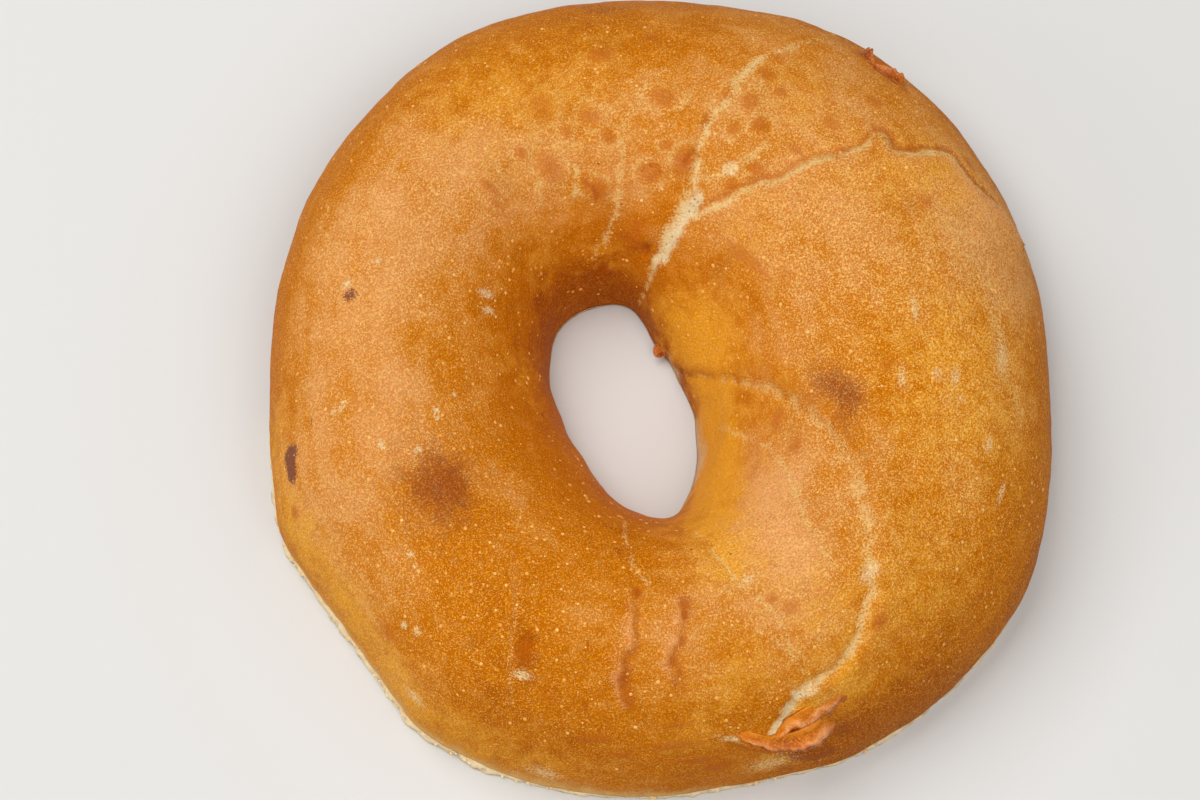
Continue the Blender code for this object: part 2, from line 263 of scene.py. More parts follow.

# Where it is browned, and, in the row from azimuth 287 to 293 near the outer cut edge, painted
# shadow below the tuck fold.
BROWNED_AND_SHADOWED = (
    (28, 0.57, 2.4, 0.4), (50, 0.27, 3, 0.35), (77, 0.23, 3, 0.4), (94, 0.21, 3, 0.35),
    (205, 0.52, 9, 0.12), (216, 0.49, 5.4, 1.0), (224, 0.56, 8, 0.15), (240, 0.66, 2.0, 0.3),
    (248.8, 0.65, 1.5, 0.9), (275, 0.88, 7, 0.25), (287, 0.885, 1.2, 1.1), (289, 0.91, 1.3, 1.4),
    (291, 0.922, 1.4, 1.6), (293, 0.918, 1.4, 1.3), (295.5, 0.85, 2.4, 0.7), (299, 0.88, 4, 0.4),
    (308, 0.86, 9, 0.2), (326, 0.34, 3.6, 0.22), (332, 0.47, 5, 0.2), (334, 0.31, 3.6, 0.25),
    (337, 0.42, 2.4, 0.4), (342.5, 0.435, 2.4, 0.4), (344.5, 0.415, 2.6, 0.7), (348, 0.385, 2.8, 0.55),
    (350, 0.365, 4, 0.25),
)

# Where it stays pale at the hole's cut edge.
PALE_BY_HOLE = ((45, 0.02, 3, 0.8), (300, 0.03, 3.5, 0.8), (318, 0.03, 4, 1.0), (340, 0.02, 3, 0.7))

# Where a pale net of dough shows between the blisters.
PALE_NET = (
    (60, 0.4, 6, 0.4), (68, 0.52, 8, 0.5), (80, 0.42, 8, 0.6), (95, 0.38, 9, 0.6), (112, 0.38, 9, 0.6),
    (270, 0.58, 7, 0.3),
)

# Where its grain stands out more, with its pale specks, which are partly painted glints.
GRAINY = (
    (5, 0.55, 22, 0.55), (45, 0.48, 14, 0.2), (150, 0.55, 18, 0.15), (235, 0.68, 13, 0.3),
    (325, 0.62, 16, 0.45),
)

# Oval marks: azimuth, share, half width, half length and strength. Widths run round the ring
# and lengths across it. First the smooth reddened blisters.
REDDENED = (
    (28, 0.6, 1.6, 1.6, 0.7), (33.5, 0.735, 1.8, 0.8, 1.3), (36.5, 0.685, 1.6, 0.7, 1.2),
    (38, 0.32, 3, 1.0, 0.5), (39, 0.632, 1.0, 1.0, 1.2), (41, 0.6, 0.9, 0.7, 0.8),
    (45.5, 0.602, 1.6, 0.6, 1.2), (46, 0.31, 3.2, 1.2, 0.5), (46, 0.53, 1.8, 0.8, 0.8),
    (50, 0.64, 1.6, 1.0, 0.6), (52, 0.55, 1.8, 1.2, 0.6), (54, 0.48, 2.0, 0.8, 0.8),
    (57, 0.74, 3.6, 1.2, 0.9), (59, 0.42, 2.2, 1.0, 1.1), (62, 0.38, 1.6, 1.4, 0.8),
    (64, 0.48, 1.8, 1.5, 1.0), (64, 0.55, 1.4, 1.2, 0.8), (68, 0.51, 1.6, 1.8, 0.8),
    (68, 0.57, 1.6, 1.2, 0.9), (68, 0.61, 1.4, 1.0, 0.6), (69, 0.46, 0.9, 1.2, 0.7),
    (72, 0.34, 1.0, 1.0, 0.6), (73, 0.505, 1.2, 1.9, 0.8), (77, 0.38, 1.8, 2.6, 1.3),
    (83, 0.39, 0.8, 0.8, 0.6), (86, 0.33, 1.9, 1.6, 0.8), (86, 0.47, 2.1, 1.5, 0.7),
    (88, 0.19, 0.9, 1.6, 0.9), (89, 0.21, 1.8, 3, 0.5), (90, 0.59, 1.8, 1.2, 0.5),
    (98, 0.39, 1.1, 1.3, 0.9), (99, 0.55, 2.0, 1.4, 0.8), (101.5, 0.29, 1.5, 2.2, 1.1),
    (102, 0.43, 1.9, 1.5, 0.7), (105, 0.31, 1.0, 1.6, 0.8), (108, 0.41, 0.9, 1.3, 0.6),
    (112, 0.46, 1.6, 1.6, 0.5), (112, 0.48, 1.7, 1.4, 0.6), (114, 0.36, 1.9, 2.6, 0.9),
    (120, 0.41, 1.0, 1.4, 0.9), (131, 0.395, 0.8, 2.0, 0.9), (132, 0.37, 0.8, 1.2, 0.6),
    (202.5, 0.82, 1.2, 1.4, 1.3), (226, 0.81, 2.2, 1.8, 0.6), (254, 0.72, 1.2, 1.4, 0.6),
    (259, 0.8, 2.6, 0.6, 0.7), (262, 0.79, 2.5, 1.0, 0.5), (265, 0.83, 2.0, 0.8, 0.8),
    (265.5, 0.486, 0.6, 0.6, 1.0), (268, 0.45, 1.0, 1.0, 1.3), (272, 0.8, 4.5, 0.9, 0.7),
    (272.3, 0.608, 1.1, 0.5, 0.9), (273, 0.605, 0.8, 0.7, 0.9), (273, 0.75, 3, 0.8, 0.6),
    (274, 0.628, 0.5, 0.9, 0.9), (275, 0.85, 3.4, 0.8, 0.8), (275.5, 0.558, 0.7, 0.8, 1.0),
    (277, 0.475, 0.8, 0.9, 1.2), (278, 0.88, 2.6, 1.4, 0.9), (290.5, 0.845, 4.2, 2.6, 1.2),
    (294, 0.505, 0.9, 0.9, 1.0), (295.5, 0.77, 1.6, 2.4, 0.4), (296, 0.54, 1.8, 1.2, 0.7),
    (307, 0.66, 1.5, 1.0, 1.6), (322, 0.78, 1.0, 0.8, 0.7), (327, 0.34, 2.2, 1.6, 0.7),
    (336, 0.29, 2.0, 1.4, 0.7), (353, 0.48, 1.4, 1.2, 0.5),
)

# Smooth marks of deep amber.
AMBERED = (
    (72, 0.335, 0.8, 0.8, 0.6), (75, 0.455, 1.2, 1.3, 0.5), (84, 0.19, 0.8, 1.2, 0.9),
    (102, 0.125, 1.0, 1.6, 0.8), (248, 0.62, 1.5, 2.5, 1.3), (248.5, 0.645, 1.0, 1.1, 1.6),
    (258.5, 0.59, 0.4, 1.0, 0.9), (259, 0.72, 0.6, 1.2, 0.7), (264.8, 0.655, 0.5, 1.3, 1.4),
    (268, 0.45, 0.6, 0.8, 0.8), (273, 0.65, 0.4, 1.6, 0.7), (277, 0.495, 0.6, 0.9, 1.0),
)

# Scorched spots.
SCORCHED = (
    (43.5, 0.61, 0.35, 0.35, 1.3), (61, 0.73, 0.28, 0.28, 1.2), (62, 0.72, 0.35, 0.5, 1.0),
    (94.5, 0.26, 0.25, 0.25, 1.2), (101, 0.34, 0.25, 0.25, 1.2), (170, 0.59, 1.0, 1.0, 0.45),
    (192, 0.7, 0.9, 0.25, 0.6), (194.6, 0.782, 1.5, 2.2, 1.0), (196.5, 0.788, 2.6, 1.5, 1.0),
    (284, 0.34, 0.25, 0.3, 1.2), (292, 0.38, 0.25, 0.3, 1.2), (295, 0.5, 0.3, 0.3, 1.2),
    (304, 0.96, 0.5, 0.5, 1.2),
)

# Pale spots.
PALE_SPOTS = (
    (6, 0.53, 2.4, 0.6, 0.6), (65, 0.4, 1.4, 1.3, 1.1), (155, 0.31, 0.9, 1.6, 0.9),
    (160, 0.3, 0.8, 1.2, 0.7), (162, 0.54, 0.7, 0.6, 0.8), (168, 0.6, 0.9, 0.8, 0.9),
    (191, 0.61, 0.5, 0.5, 1.0), (192, 0.62, 0.5, 0.6, 1.1), (192, 0.64, 0.5, 0.6, 1.1),
    (194, 0.39, 0.5, 0.5, 1.2), (198, 0.43, 0.6, 0.7, 1.1), (200, 0.43, 0.5, 0.6, 1.0),
    (202, 0.55, 1.2, 0.6, 0.8), (206, 0.49, 0.7, 0.9, 0.8), (222, 0.64, 0.6, 0.6, 1.1),
    (224, 0.65, 0.5, 0.6, 1.1), (228, 0.76, 0.7, 0.8, 1.1), (230.5, 0.74, 0.8, 0.8, 1.1),
    (234, 0.88, 2.0, 1.2, 0.6), (249, 0.685, 1.8, 0.8, 0.9), (254, 0.93, 2.6, 1.6, 0.6),
    (280, 0.8, 1.6, 0.6, 0.9), (285, 0.91, 3.6, 2.0, 0.45), (292, 0.45, 1.2, 0.8, 0.6),
    (311, 0.58, 2.0, 1.1, 0.9), (336, 0.71, 2.2, 0.5, 0.8), (342, 0.66, 1.4, 0.6, 0.8),
    (348, 0.6, 0.7, 0.6, 0.7), (350, 0.5, 1.6, 0.6, 0.7), (352, 0.56, 1.0, 0.8, 0.6),
    (352, 0.59, 1.6, 0.7, 0.6), (358, 0.68, 3.5, 1.2, 0.5),
)

# Where the crust turns pale toward the cut edge: the azimuth in the middle of that side, and how
# much further off the edge counts away from it.
PALE_RIM = (238.0, 6.0)

# Wrinkled folds of reddened crust that stand on the crust: name, places, then half widths and
# heights at equal steps along each, how far its top leans to the left, its wrinkles across, and
# its redness at equal steps: pinkish below 1, browner above 1.
FOLDS = (
    (
        "tuck_fold",
        (
            (281, 0.788), (283, 0.805), (285, 0.822), (287, 0.831), (289, 0.832), (291, 0.826),
            (293, 0.822), (295, 0.82),
        ),
        (0.7, 1.0, 1.3, 1.8, 2.2, 2.4, 2.4, 1.8), (0.6, 0.9, 1.1, 1.5, 1.7, 1.4, 0.9, 0.2), -0.2, 2,
        (0.5, 0.7, 1.2, 1.6, 1.4, 0.8, 0.5, 0.5),
    ),
    (
        "tuck_strand",
        (
            (286, 0.818), (288, 0.803), (289, 0.794), (290.5, 0.786), (293, 0.778), (295, 0.761),
            (297, 0.74),
        ),
        (0.6, 1.1, 1.6, 1.8, 1.9, 1.9, 1.7), (0.5, 0.8, 0.85, 0.7, 0.55, 0.4, 0.15), 0.1, 1,
        (0.7, 0.4, 0.4),
    ),
    (
        "crust_curl",
        (
            (58.5, 0.762), (57.6, 0.75), (56.5, 0.738), (55, 0.73), (53.5, 0.73), (52, 0.733),
            (51, 0.737), (50, 0.745),
        ),
        (0.9, 1.0, 0.7, 0.6, 0.8, 1.1, 1.1, 0.7), (1.3, 1.7, 0.9, 0.8, 1.2, 1.7, 1.5, 0.8), 0.3, 2,
        (2.0, 1.1, 1.9),
    ),
    (
        "hole_curl", ((69, 0.015), (66, 0.02), (63, 0.02), (60, 0.015)), (0.7, 1.1, 1.1, 0.7),
        (1.0, 1.7, 1.6, 0.8), 0.0, 2, (1.5, 1.5),
    ),
)

# How deep the edges of the folds are sunk in the crust, how thick the folds are below that, and
# how finely they are laid out, along and across.
FOLD_SINK = 0.2
FOLD_THICKNESS = 0.5
FOLD_GRID = (90, 28)

# Over what share of its length a fold tapers at each end, and takes the crust's colour there.
FOLD_TAPER = 0.06
FOLD_ENDS = 0.20

# How finely the crust is laid out, and the crumb's cut face and its upper side.
CRUST_ROUND = 600
CRUST_ACROSS = 146
CRUST_INSIDE = 8
FACE_ACROSS = 84
CRUMB_INSIDE = 15

# How thick the crust is, how deep inside it the crumb begins, and the length of its arc from
# one cut edge to the other.
CRUST_THICKNESS = 1.3
CRUMB_DEPTH = 0.9
ROLL_ARC = 68.0

# The least heights of the crust's outside, of its inside and of the crumb under it.
LEAST_HEIGHTS = (0.15, 0.12, 0.3)

# How high the crust's torn lower edge stands and how ragged it is, and how much higher it
# stands along the first flat side.
TORN_EDGE = (0.6, 0.4)
TORN_AT_FLAT_SIDE = 1.0

# The pores of the cut face: how many, the smallest half width, how much wider the widest is,
# how much longer than wide they may be, how deep for their half width, and how close to the
# edges, as a share of the width of the face, they get shallower.
PORES = 1500
PORE_WIDTHS = (0.35, 1.5)
PORE_STRETCH = (1.0, 1.9)
PORE_DEPTH = 1.1
PORE_MARGIN = 0.07

# The camera: height angle, distance, lens and the point that it looks at.
VIEW_ELEVATION = 68.0
VIEW_DISTANCE = 571.0
VIEW_LENS = 120.0
VIEW_AIM = (-8.5, -4.5, 12.0)

# Square soft lights: name, size, power, azimuth, elevation and distance, in metres. Azimuth 0
# stands at -Y and 90 at +X. The surround's strength is even from all sides.
LAMPS = (
    ("key", 0.8, 7.6, -126.0, 62.0, 1.0),
    ("fill", 0.9, 5.3, 16.0, 56.0, 1.1),
    ("side", 0.9, 2.6, 85.0, 50.0, 1.1),
    ("low", 0.7, 2.8, -62.0, 24.0, 1.1),
)
SURROUND = 0.13

# The floor's half width, and its height just below the cut face.
FLOOR_HALF = 2000.0
FLOOR_HEIGHT = -0.02


def smooth_step(x):
    """0 below 0, 1 above 1 and smooth between."""
    x = np.clip(x, 0.0, 1.0)
    return x * x * (3.0 - 2.0 * x)


def smooth_min(a, b, blend):
    """The lesser of a and b, with the corner between them rounded over about blend."""
    mix = np.clip(0.5 + 0.5 * (b - a) / blend, 0.0, 1.0)
    return b + (a - b) * mix - blend * mix * (1.0 - mix)


def smooth_between(a, b, c, d, t):
    """A smooth curve from b where t is 0 to c where t is 1, on its way from a to d."""
    return b + 0.5 * t * ((c - a) + t * ((2 * a - 5 * b + 4 * c - d) + t * (3 * (b - c) + d - a)))


def at_steps(values, share):
    """Values set at equal steps along a line, read at a share of its length."""
    return np.interp(share, np.linspace(0.0, 1.0, len(values)), values)


def round_the_ring(values, azimuth):
    """A smooth closed curve through values set at equal steps round the ring."""
    values = np.asarray(values, float)
    place = np.asarray(azimuth, float) / 360.0 * len(values)
    first = np.floor(place).astype(int)
    a, b, c, d = (values[(first + k) % len(values)] for k in (-1, 0, 1, 2))
    return smooth_between(a, b, c, d, place - first)


def polar(centre, radius, azimuth):
    """Points in the cut plane at that radius and azimuth from centre."""
    angle = np.radians(azimuth)
    return np.stack([centre[0] + radius * np.cos(angle), centre[1] + radius * np.sin(angle)], -1)


def lifted(flat, height):
    """Points of the cut plane, moved to a height above it."""
    height = np.broadcast_to(np.asarray(height, float)[..., None], flat.shape[:-1] + (1,))
    return np.concatenate([flat, height], -1)


def outer_edge(azimuth):
    """The outer cut edge, with its flat sides."""
    radius = round_the_ring(OUTER_RADII, azimuth)
    for side, distance, blend in FLAT_SIDES:
        facing = np.cos(np.radians(np.asarray(azimuth, float) - side))
        chord = distance / np.maximum(facing, 0.2)
        radius = smooth_min(radius, chord, blend)
    return polar(RING_CENTRE, radius, azimuth)


def hole_edge(azimuth):
    """The cut edge round the hole."""
    return polar(HOLE_CENTRE, round_the_ring(HOLE_RADII, azimuth), azimuth)


def plain_crust(azimuth, share):
    """Points on the smooth crust: an oval's quarter up from the hole, and one down past the belt."""
    azimuth, share = np.broadcast_arrays(np.asarray(azimuth, float), np.asarray(share, float))
    inner, outer = hole_edge(azimuth), outer_edge(azimuth)
    crown = round_the_ring(CROWN_HEIGHTS, azimuth)
    belt = round_the_ring(BELT_HEIGHTS, azimuth)
    dip = np.arcsin(belt / (crown - belt))
    past = np.clip(2.0 * share - 1.0, 0.0, 1.0) * (math.pi / 2.0 + dip)
    short = np.clip(1.0 - 2.0 * share, 0.0, 1.0) * math.pi / 2.0
    across = CROWN_SHARE * (1.0 - np.sin(short))
    across += (1.0 - CROWN_SHARE) * np.sin(past) / np.cos(dip)
    height = np.where(share < 0.5, crown * np.cos(short), belt + (crown - belt) * np.cos(past))
    return lifted(inner + (outer - inner) * across[..., None], height)


def unit(vectors):
    """The same directions, one long."""
    return vectors / np.linalg.norm(vectors, axis=-1, keepdims=True)


def directions(azimuth, share):
    """Unit steps round the ring and across the crust, and the outward normals, on the smooth crust."""
    small = 0.02
    round_ = plain_crust(azimuth + small, share) - plain_crust(azimuth - small, share)
    over = plain_crust(azimuth, share + small / 50) - plain_crust(azimuth, share - small / 50)
    return unit(round_), unit(over), unit(np.cross(over, round_))


def bump(away, reach):
    """1 in the middle of a bump, about a third at its reach, and soon 0 beyond."""
    return np.exp(-((away / reach) ** 2))


def patches(points, spots):
    """The sum of soft round patches at the spots."""
    total = np.zeros(points.shape[:-1])
    for azimuth, share, reach, strength in spots:
        away = np.linalg.norm(points - plain_crust(azimuth, share), axis=-1)
        total += strength * bump(away, reach)
    return total


def cones(points, spots):
    """The highest of the oval cones: strength in the middle, 0 at the oval's edge, less beyond."""
    best = np.full(points.shape[:-1], -3.0)
    for azimuth, share, half_width, half_length, strength in spots:
        round_, over, _ = directions(azimuth, share)
        offset = points - plain_crust(azimuth, share)
        u, v = offset @ round_, offset @ over
        w2 = (offset**2).sum(-1) - u**2 - v**2
        away = np.sqrt((u / half_width) ** 2 + (v / half_length) ** 2 + np.maximum(w2, 0.0) / 9.0)
        best = np.maximum(best, strength * (1.0 - away))
    return best


def smooth_path(places):
    """A smooth line on the crust through the places."""
    knots = np.asarray(places, float)
    knots = np.concatenate([2 * knots[:1] - knots[1:2], knots, 2 * knots[-1:] - knots[-2:-1]])
    place = np.linspace(0.0, len(places) - 1.0, CREASE_STEPS)
    first = np.minimum(place.astype(int), len(places) - 2)
    a, b, c, d = (knots[first + k] for k in range(4))
    path = smooth_between(a, b, c, d, (place - first)[:, None])
    return plain_crust(path[:, 0], np.clip(path[:, 1], 0.0, 1.0))


def from_path(points, normals, places):
    """Distance from the path, signed distance to its left, how far along it, and its length."""
    path = smooth_path(places)
    ahead = unit(np.gradient(path, axis=0))
    run = np.concatenate([[0.0], np.cumsum(np.linalg.norm(np.diff(path, axis=0), axis=1))])
    nearest = np.zeros(points.shape[:-1], int)
    least = np.full(points.shape[:-1], np.inf)
    for step, point in enumerate(path):
        away = ((points - point) ** 2).sum(-1)
        nearest = np.where(away < least, step, nearest)
        least = np.minimum(away, least)
    offset = points - path[nearest]
    half_step = 0.5 * run[-1] / (CREASE_STEPS - 1)
    further = np.clip((offset * ahead[nearest]).sum(-1), -half_step, half_step)
    offset -= further[..., None] * ahead[nearest]
    away = np.linalg.norm(offset, axis=-1)
    leftward = (np.cross(ahead[nearest], offset) * normals).sum(-1)
    return away, leftward, run[nearest] + further, run[-1]


def to_end(measures):
    """The length along the path to its nearer end."""
    _, _, along, length = measures
    return np.minimum(along, length - along)


def crease_rise(measures, crease, depths):
    """How far one crease sinks each point, and its lips lift it."""
    _, (depth, width), (left_rise, left_reach), (right_rise, right_reach) = crease
    away, leftward, along, length = measures
    groove = depth * at_steps(depths, along / length) * bump(away, width)
    blend = smooth_step(0.5 + 0.5 * leftward / width)
    left = left_rise * bump(away, left_reach)
    right = right_rise * bump(away, right_reach)
    fade = smooth_step(to_end(measures) / CREASE_FADE + 0.1)
    return (left * blend + right * (1.0 - blend) - groove) * fade


def lattice_noise(points, size, seed):
    """Smooth noise between -1 and 1, whose lumps are about size across."""
    cells = 32
    table = np.random.default_rng(seed).uniform(-1.0, 1.0, (cells, cells, cells))
    place = points / size
    first = np.floor(place).astype(int)
    t = smooth_step(place - first)
    total = np.zeros(points.shape[:-1])
    for corner in np.ndindex(2, 2, 2):
        weight = np.prod(np.where(np.array(corner) == 1, t, 1.0 - t), axis=-1)
        i, j, k = np.moveaxis((first + corner) % cells, -1, 0)
        total += weight * table[i, j, k]
    return total


class Lines:
    """The lines of one kind over the crust: at each point the nearest one's distance, in units
    of its own half width, and its strength there."""

    def __init__(self, shape):
        self.offset = np.full(shape, 9.0)
        self.strength = np.zeros(shape)

    def draw(self, measures, shift, widths, strengths):
        """Adds one line, shifted to the left of the path that was measured."""
        away, leftward, along, length = measures
        off_end = np.sqrt(np.maximum(away**2 - leftward**2, 0.0))
        offset = np.hypot(leftward - shift, off_end) / at_steps(widths, along / length)
        nearer = offset < self.offset
        self.offset = np.where(nearer, offset, self.offset)
        self.strength = np.where(nearer, at_steps(strengths, along / length), self.strength)


def quads(count, steps):
    """The corners of the faces between closed loops of points, with the last loop joined to the first."""
    index = np.arange(count * steps).reshape(count, steps)
    ahead = np.roll(index, -1, axis=0)
    return np.stack([index, np.roll(index, -1, axis=1), np.roll(ahead, -1, axis=1), ahead], axis=-1)


def new_mesh(name, loops, faces, fields):
    """A mesh from loops of points in millimetres, with the values that its points carry."""
    mesh = bpy.data.meshes.new(name)
    mesh.from_pydata((loops.reshape(-1, 3) * MM).tolist(), [], faces)
    for field, values in fields.items():
        layer = mesh.attributes.new(field, "FLOAT", "POINT")
        layer.data.foreach_set("value", np.ascontiguousarray(values, dtype=np.float32).ravel())
    return mesh


def put_in_scene(name, mesh):
    """An object for the mesh, at the origin."""
    piece = bpy.data.objects.new(name, mesh)
    bpy.context.scene.collection.objects.link(piece)
    return piece


def closed_mesh(name, loops, fields, material, ring=True):
    """A piece from closed loops of points, one round each section of a ring or of a strip."""
    corners = quads(*loops.shape[:2])
    if ring:
        faces = corners.reshape(-1, 4).tolist()
    else:
        ends = [corners[0, ::-1, 0].tolist(), corners[-1, :, 0].tolist()]
        faces = corners[:-1].reshape(-1, 4).tolist() + ends
    mesh = new_mesh(name, loops, faces, fields)
    mesh.shade_smooth()
    mesh.materials.append(material)
    return put_in_scene(name, mesh)


def give_inputs(tree, node, inputs):
    """Joins each of a node's inputs to another node's output, or sets it to a plain value."""
    for key, value in inputs.items():
        if isinstance(value, bpy.types.NodeSocket):
            tree.links.new(value, node.inputs[key])
        else:
            node.inputs[key].default_value = value


def add_node(tree, kind, inputs, **settings):
    """Adds a node to a tree, with its settings and inputs."""
    node = tree.nodes.new(kind)
    for key, value in settings.items():
        setattr(node, key, value)
    give_inputs(tree, node, inputs)
    return node


class Finish:
    """A material's nodes, added one by one and joined as they are added."""

    def __init__(self, name):
        self.material = bpy.data.materials.new(name)
        self.material.use_nodes = True
        self.tree = self.material.node_tree

    def shade(self, inputs):
        """The material, with these inputs of its shader joined or set."""
        give_inputs(self.tree, self.tree.nodes["Principled BSDF"], inputs)
        return self.material

    def add(self, kind, inputs, out=0, **settings):
        """Adds a node and gives its output."""
        return add_node(self.tree, kind, inputs, **settings).outputs[out]

    def field(self, name):
        """A value that the mesh carries."""
        return self.add("ShaderNodeAttribute", {}, out="Fac", attribute_name=name)

    def place(self):
        """Object coordinates, in metres."""
        return self.add("ShaderNodeTexCoord", {}, out="Object")

    def noise(self, size, detail=2.0, roughness=0.5, out=0):
        """Noise from about 0.25 to 0.75, whose lumps are about size millimetres across."""
        inputs = {
            "Vector": self.place(),
            "Scale": 1.0 / (size * MM),
            "Detail": detail,
            "Roughness": roughness,
        }
        return self.add("ShaderNodeTexNoise", inputs, out=out)

    def grains(self, size):
        """The distance from the middle of the nearest of many grains, size millimetres apart."""
        stir = self.noise(size / 0.8, 1.0, out="Color")
        push = self.add("ShaderNodeVectorMath", {0: stir, "Scale": 0.9 * size * MM}, operation="SCALE")
        stirred = self.add("ShaderNodeVectorMath", {0: self.place(), 1: push}, operation="ADD")
        inputs = {"Vector": stirred, "Scale": 1.0 / (size * MM)}
        return self.add("ShaderNodeTexVoronoi", inputs, out="Distance")

    def plus(self, first, second):
        """The sum of two values."""
        return self.add("ShaderNodeMath", {0: first, 1: second}, operation="ADD")

    def times(self, first, second):
        """The product of two values."""
        return self.add("ShaderNodeMath", {0: first, 1: second}, operation="MULTIPLY")

    def scaled(self, value, scale, start):
        """A value times scale, plus start."""
        return self.add("ShaderNodeMath", {0: value, 1: scale, 2: start}, operation="MULTIPLY_ADD")

    def step(self, value, low, high, bottom=0.0, top=1.0):
        """Smoothly from bottom at low to top at high."""
        inputs = {"Value": value, "From Min": low, "From Max": high, "To Min": bottom, "To Max": top}
        return self.add("ShaderNodeMapRange", inputs, interpolation_type="SMOOTHSTEP")

    def roughened(self, name, noise, swing, low=0.28, high=0.72):
        """A field with noise added to it, up to swing either way."""
        return self.plus(self.field(name), self.step(noise, low, high, -swing, swing))

    def mix(self, share, first, second):
        """A colour between first and second."""
        return self.add("ShaderNodeMix", {0: share, 6: first, 7: second}, out=2, data_type="RGBA")

    def relief(self, height, distance, strength, over=None):
        """Fine relief, distance millimetres high, laid over another relief where there is one."""
        inputs = {"Height": height, "Distance": distance * MM, "Strength": strength}
        if over is not None:
            inputs["Normal"] = over
        return self.add("ShaderNodeBump", inputs)


def colour(red, green, blue):
    """A linear colour."""
    return (red, green, blue, 1.0)


# Deep amber stands partly for painted shade on the steep sides, rose gold and light rose partly for
# painted sheen on the crown.
DEEP_AMBER_SHADE = colour(0.40, 0.080, 0.001)
AMBER = colour(0.57, 0.147, 0.001)
HONEY_GOLD = colour(0.95, 0.400, 0.018)
GOLDEN = colour(0.68, 0.211, 0.012)
ROSE_GOLD_SHEEN = colour(0.78, 0.305, 0.078)
LIGHT_ROSE_SHEEN = colour(0.91, 0.400, 0.140)
BROWN = colour(0.33, 0.070, 0.012)
RED_BROWN = colour(0.56, 0.130, 0.020)
FOLD_RED = colour(0.46, 0.100, 0.018)
FOLD_PINK = colour(0.77, 0.250, 0.045)
# Fold brown is also painted shade; pink gold is a painted highlight.
FOLD_BROWN_AND_SHADE = colour(0.22, 0.045, 0.008)
PINK_GOLD_HIGHLIGHT = colour(0.92, 0.440, 0.180)
PURPLE_BROWN = colour(0.18, 0.050, 0.040)
# Painted shade in the creases.
CREASE_SHADE_RED = colour(0.50, 0.115, 0.012)
# Painted highlight on the lips of the creases.
LIP_HIGHLIGHT_GOLD = colour(0.87, 0.385, 0.140)
SMOOTH_AMBER = colour(0.46, 0.095, 0.002)
STRAW = colour(0.88, 0.55, 0.19)
PALE_STRAW = colour(0.93, 0.70, 0.36)
# Colours of the crust's pale specks, which are partly painted glints; the brightest is a painted glint.
GOLD_GLINT_SPECK = colour(0.89, 0.355, 0.022)
HONEY_GLINT_SPECK = colour(0.97, 0.520, 0.100)
CREAM_GLINT_SPECK = colour(0.96, 0.55, 0.17)
BRIGHT_GLINT = colour(0.98, 0.76, 0.42)
CREAM = colour(0.90, 0.72, 0.43)
SHADOWED_CRUMB = colour(0.36, 0.22, 0.08)
# Painted shade in the crumb's pores.
PORE_SHADE_BROWN = colour(0.60, 0.40, 0.19)
SHADED_CREAM = colour(0.74, 0.55, 0.32)
BLISTER_GOLD = colour(0.76, 0.30, 0.04)
BLISTER_STRAW = colour(0.90, 0.52, 0.15)
# Painted shade in the folds' valleys.
FOLD_VALLEY_SHADE = colour(0.30, 0.050, 0.008)


def baked(crust, patchy, fine, red):
    """The baked colour with its painted sheen and shade, the colour of the pale specks on it, which
    are partly painted glints, and how much of them shows.
    """
    pale = crust.roughened("paleness", crust.noise(8.0, 3.0), 0.22)
    pale = crust.plus(pale, crust.step(patchy, 0.28, 0.72, -0.16, 0.16))
    pale = crust.plus(pale, crust.step(crust.field("streak"), -0.6, 0.6, -0.12, 0.12))
    # Painted light: the rosy end of this scale is partly the crown's painted sheen, and deep amber partly
    # painted shade on the steep sides.
    skin = crust.mix(crust.step(pale, -0.7, 0.0), DEEP_AMBER_SHADE, AMBER)
    for low, high, tint in ((0.1, 0.6, GOLDEN), (0.5, 1.1, ROSE_GOLD_SHEEN), (1.0, 1.5, LIGHT_ROSE_SHEEN)):
        skin = crust.mix(crust.step(pale, low, high), skin, tint)
    glint_speck = crust.mix(crust.step(pale, 0.1, 0.9), GOLD_GLINT_SPECK, CREAM_GLINT_SPECK)

    honey = crust.step(crust.roughened("honey", patchy, 0.25), 0.0, 1.0, 0.0, 0.9)
    skin = crust.mix(honey, skin, HONEY_GOLD)
    glint_speck = crust.mix(honey, glint_speck, HONEY_GLINT_SPECK)
    # Browned patches, with the painted shadow below the tuck fold among them.
    browned = crust.plus(crust.roughened("browned", patchy, 0.20), crust.step(fine, 0.3, 0.7, -0.12, 0.12))
    browned = crust.step(browned, 0.0, 1.1)
    skin = crust.mix(browned, skin, BROWN)
    reddened = crust.step(red, -0.12, 0.42)
    skin = crust.mix(crust.times(reddened, crust.step(red, 0.4, 1.2, 0.42, 0.85)), skin, RED_BROWN)
    ambered = crust.step(crust.roughened("ambered", patchy, 0.20), -0.12, 0.42)
    skin = crust.mix(crust.times(ambered, 0.85), skin, SMOOTH_AMBER)

    plain = crust.scaled(browned, -0.6, crust.scaled(reddened, -0.7, 1.0))
    plain = crust.times(plain, crust.scaled(ambered, -0.7, 1.0))
    return skin, glint_speck, crust.times(plain, crust.field("grainy"))


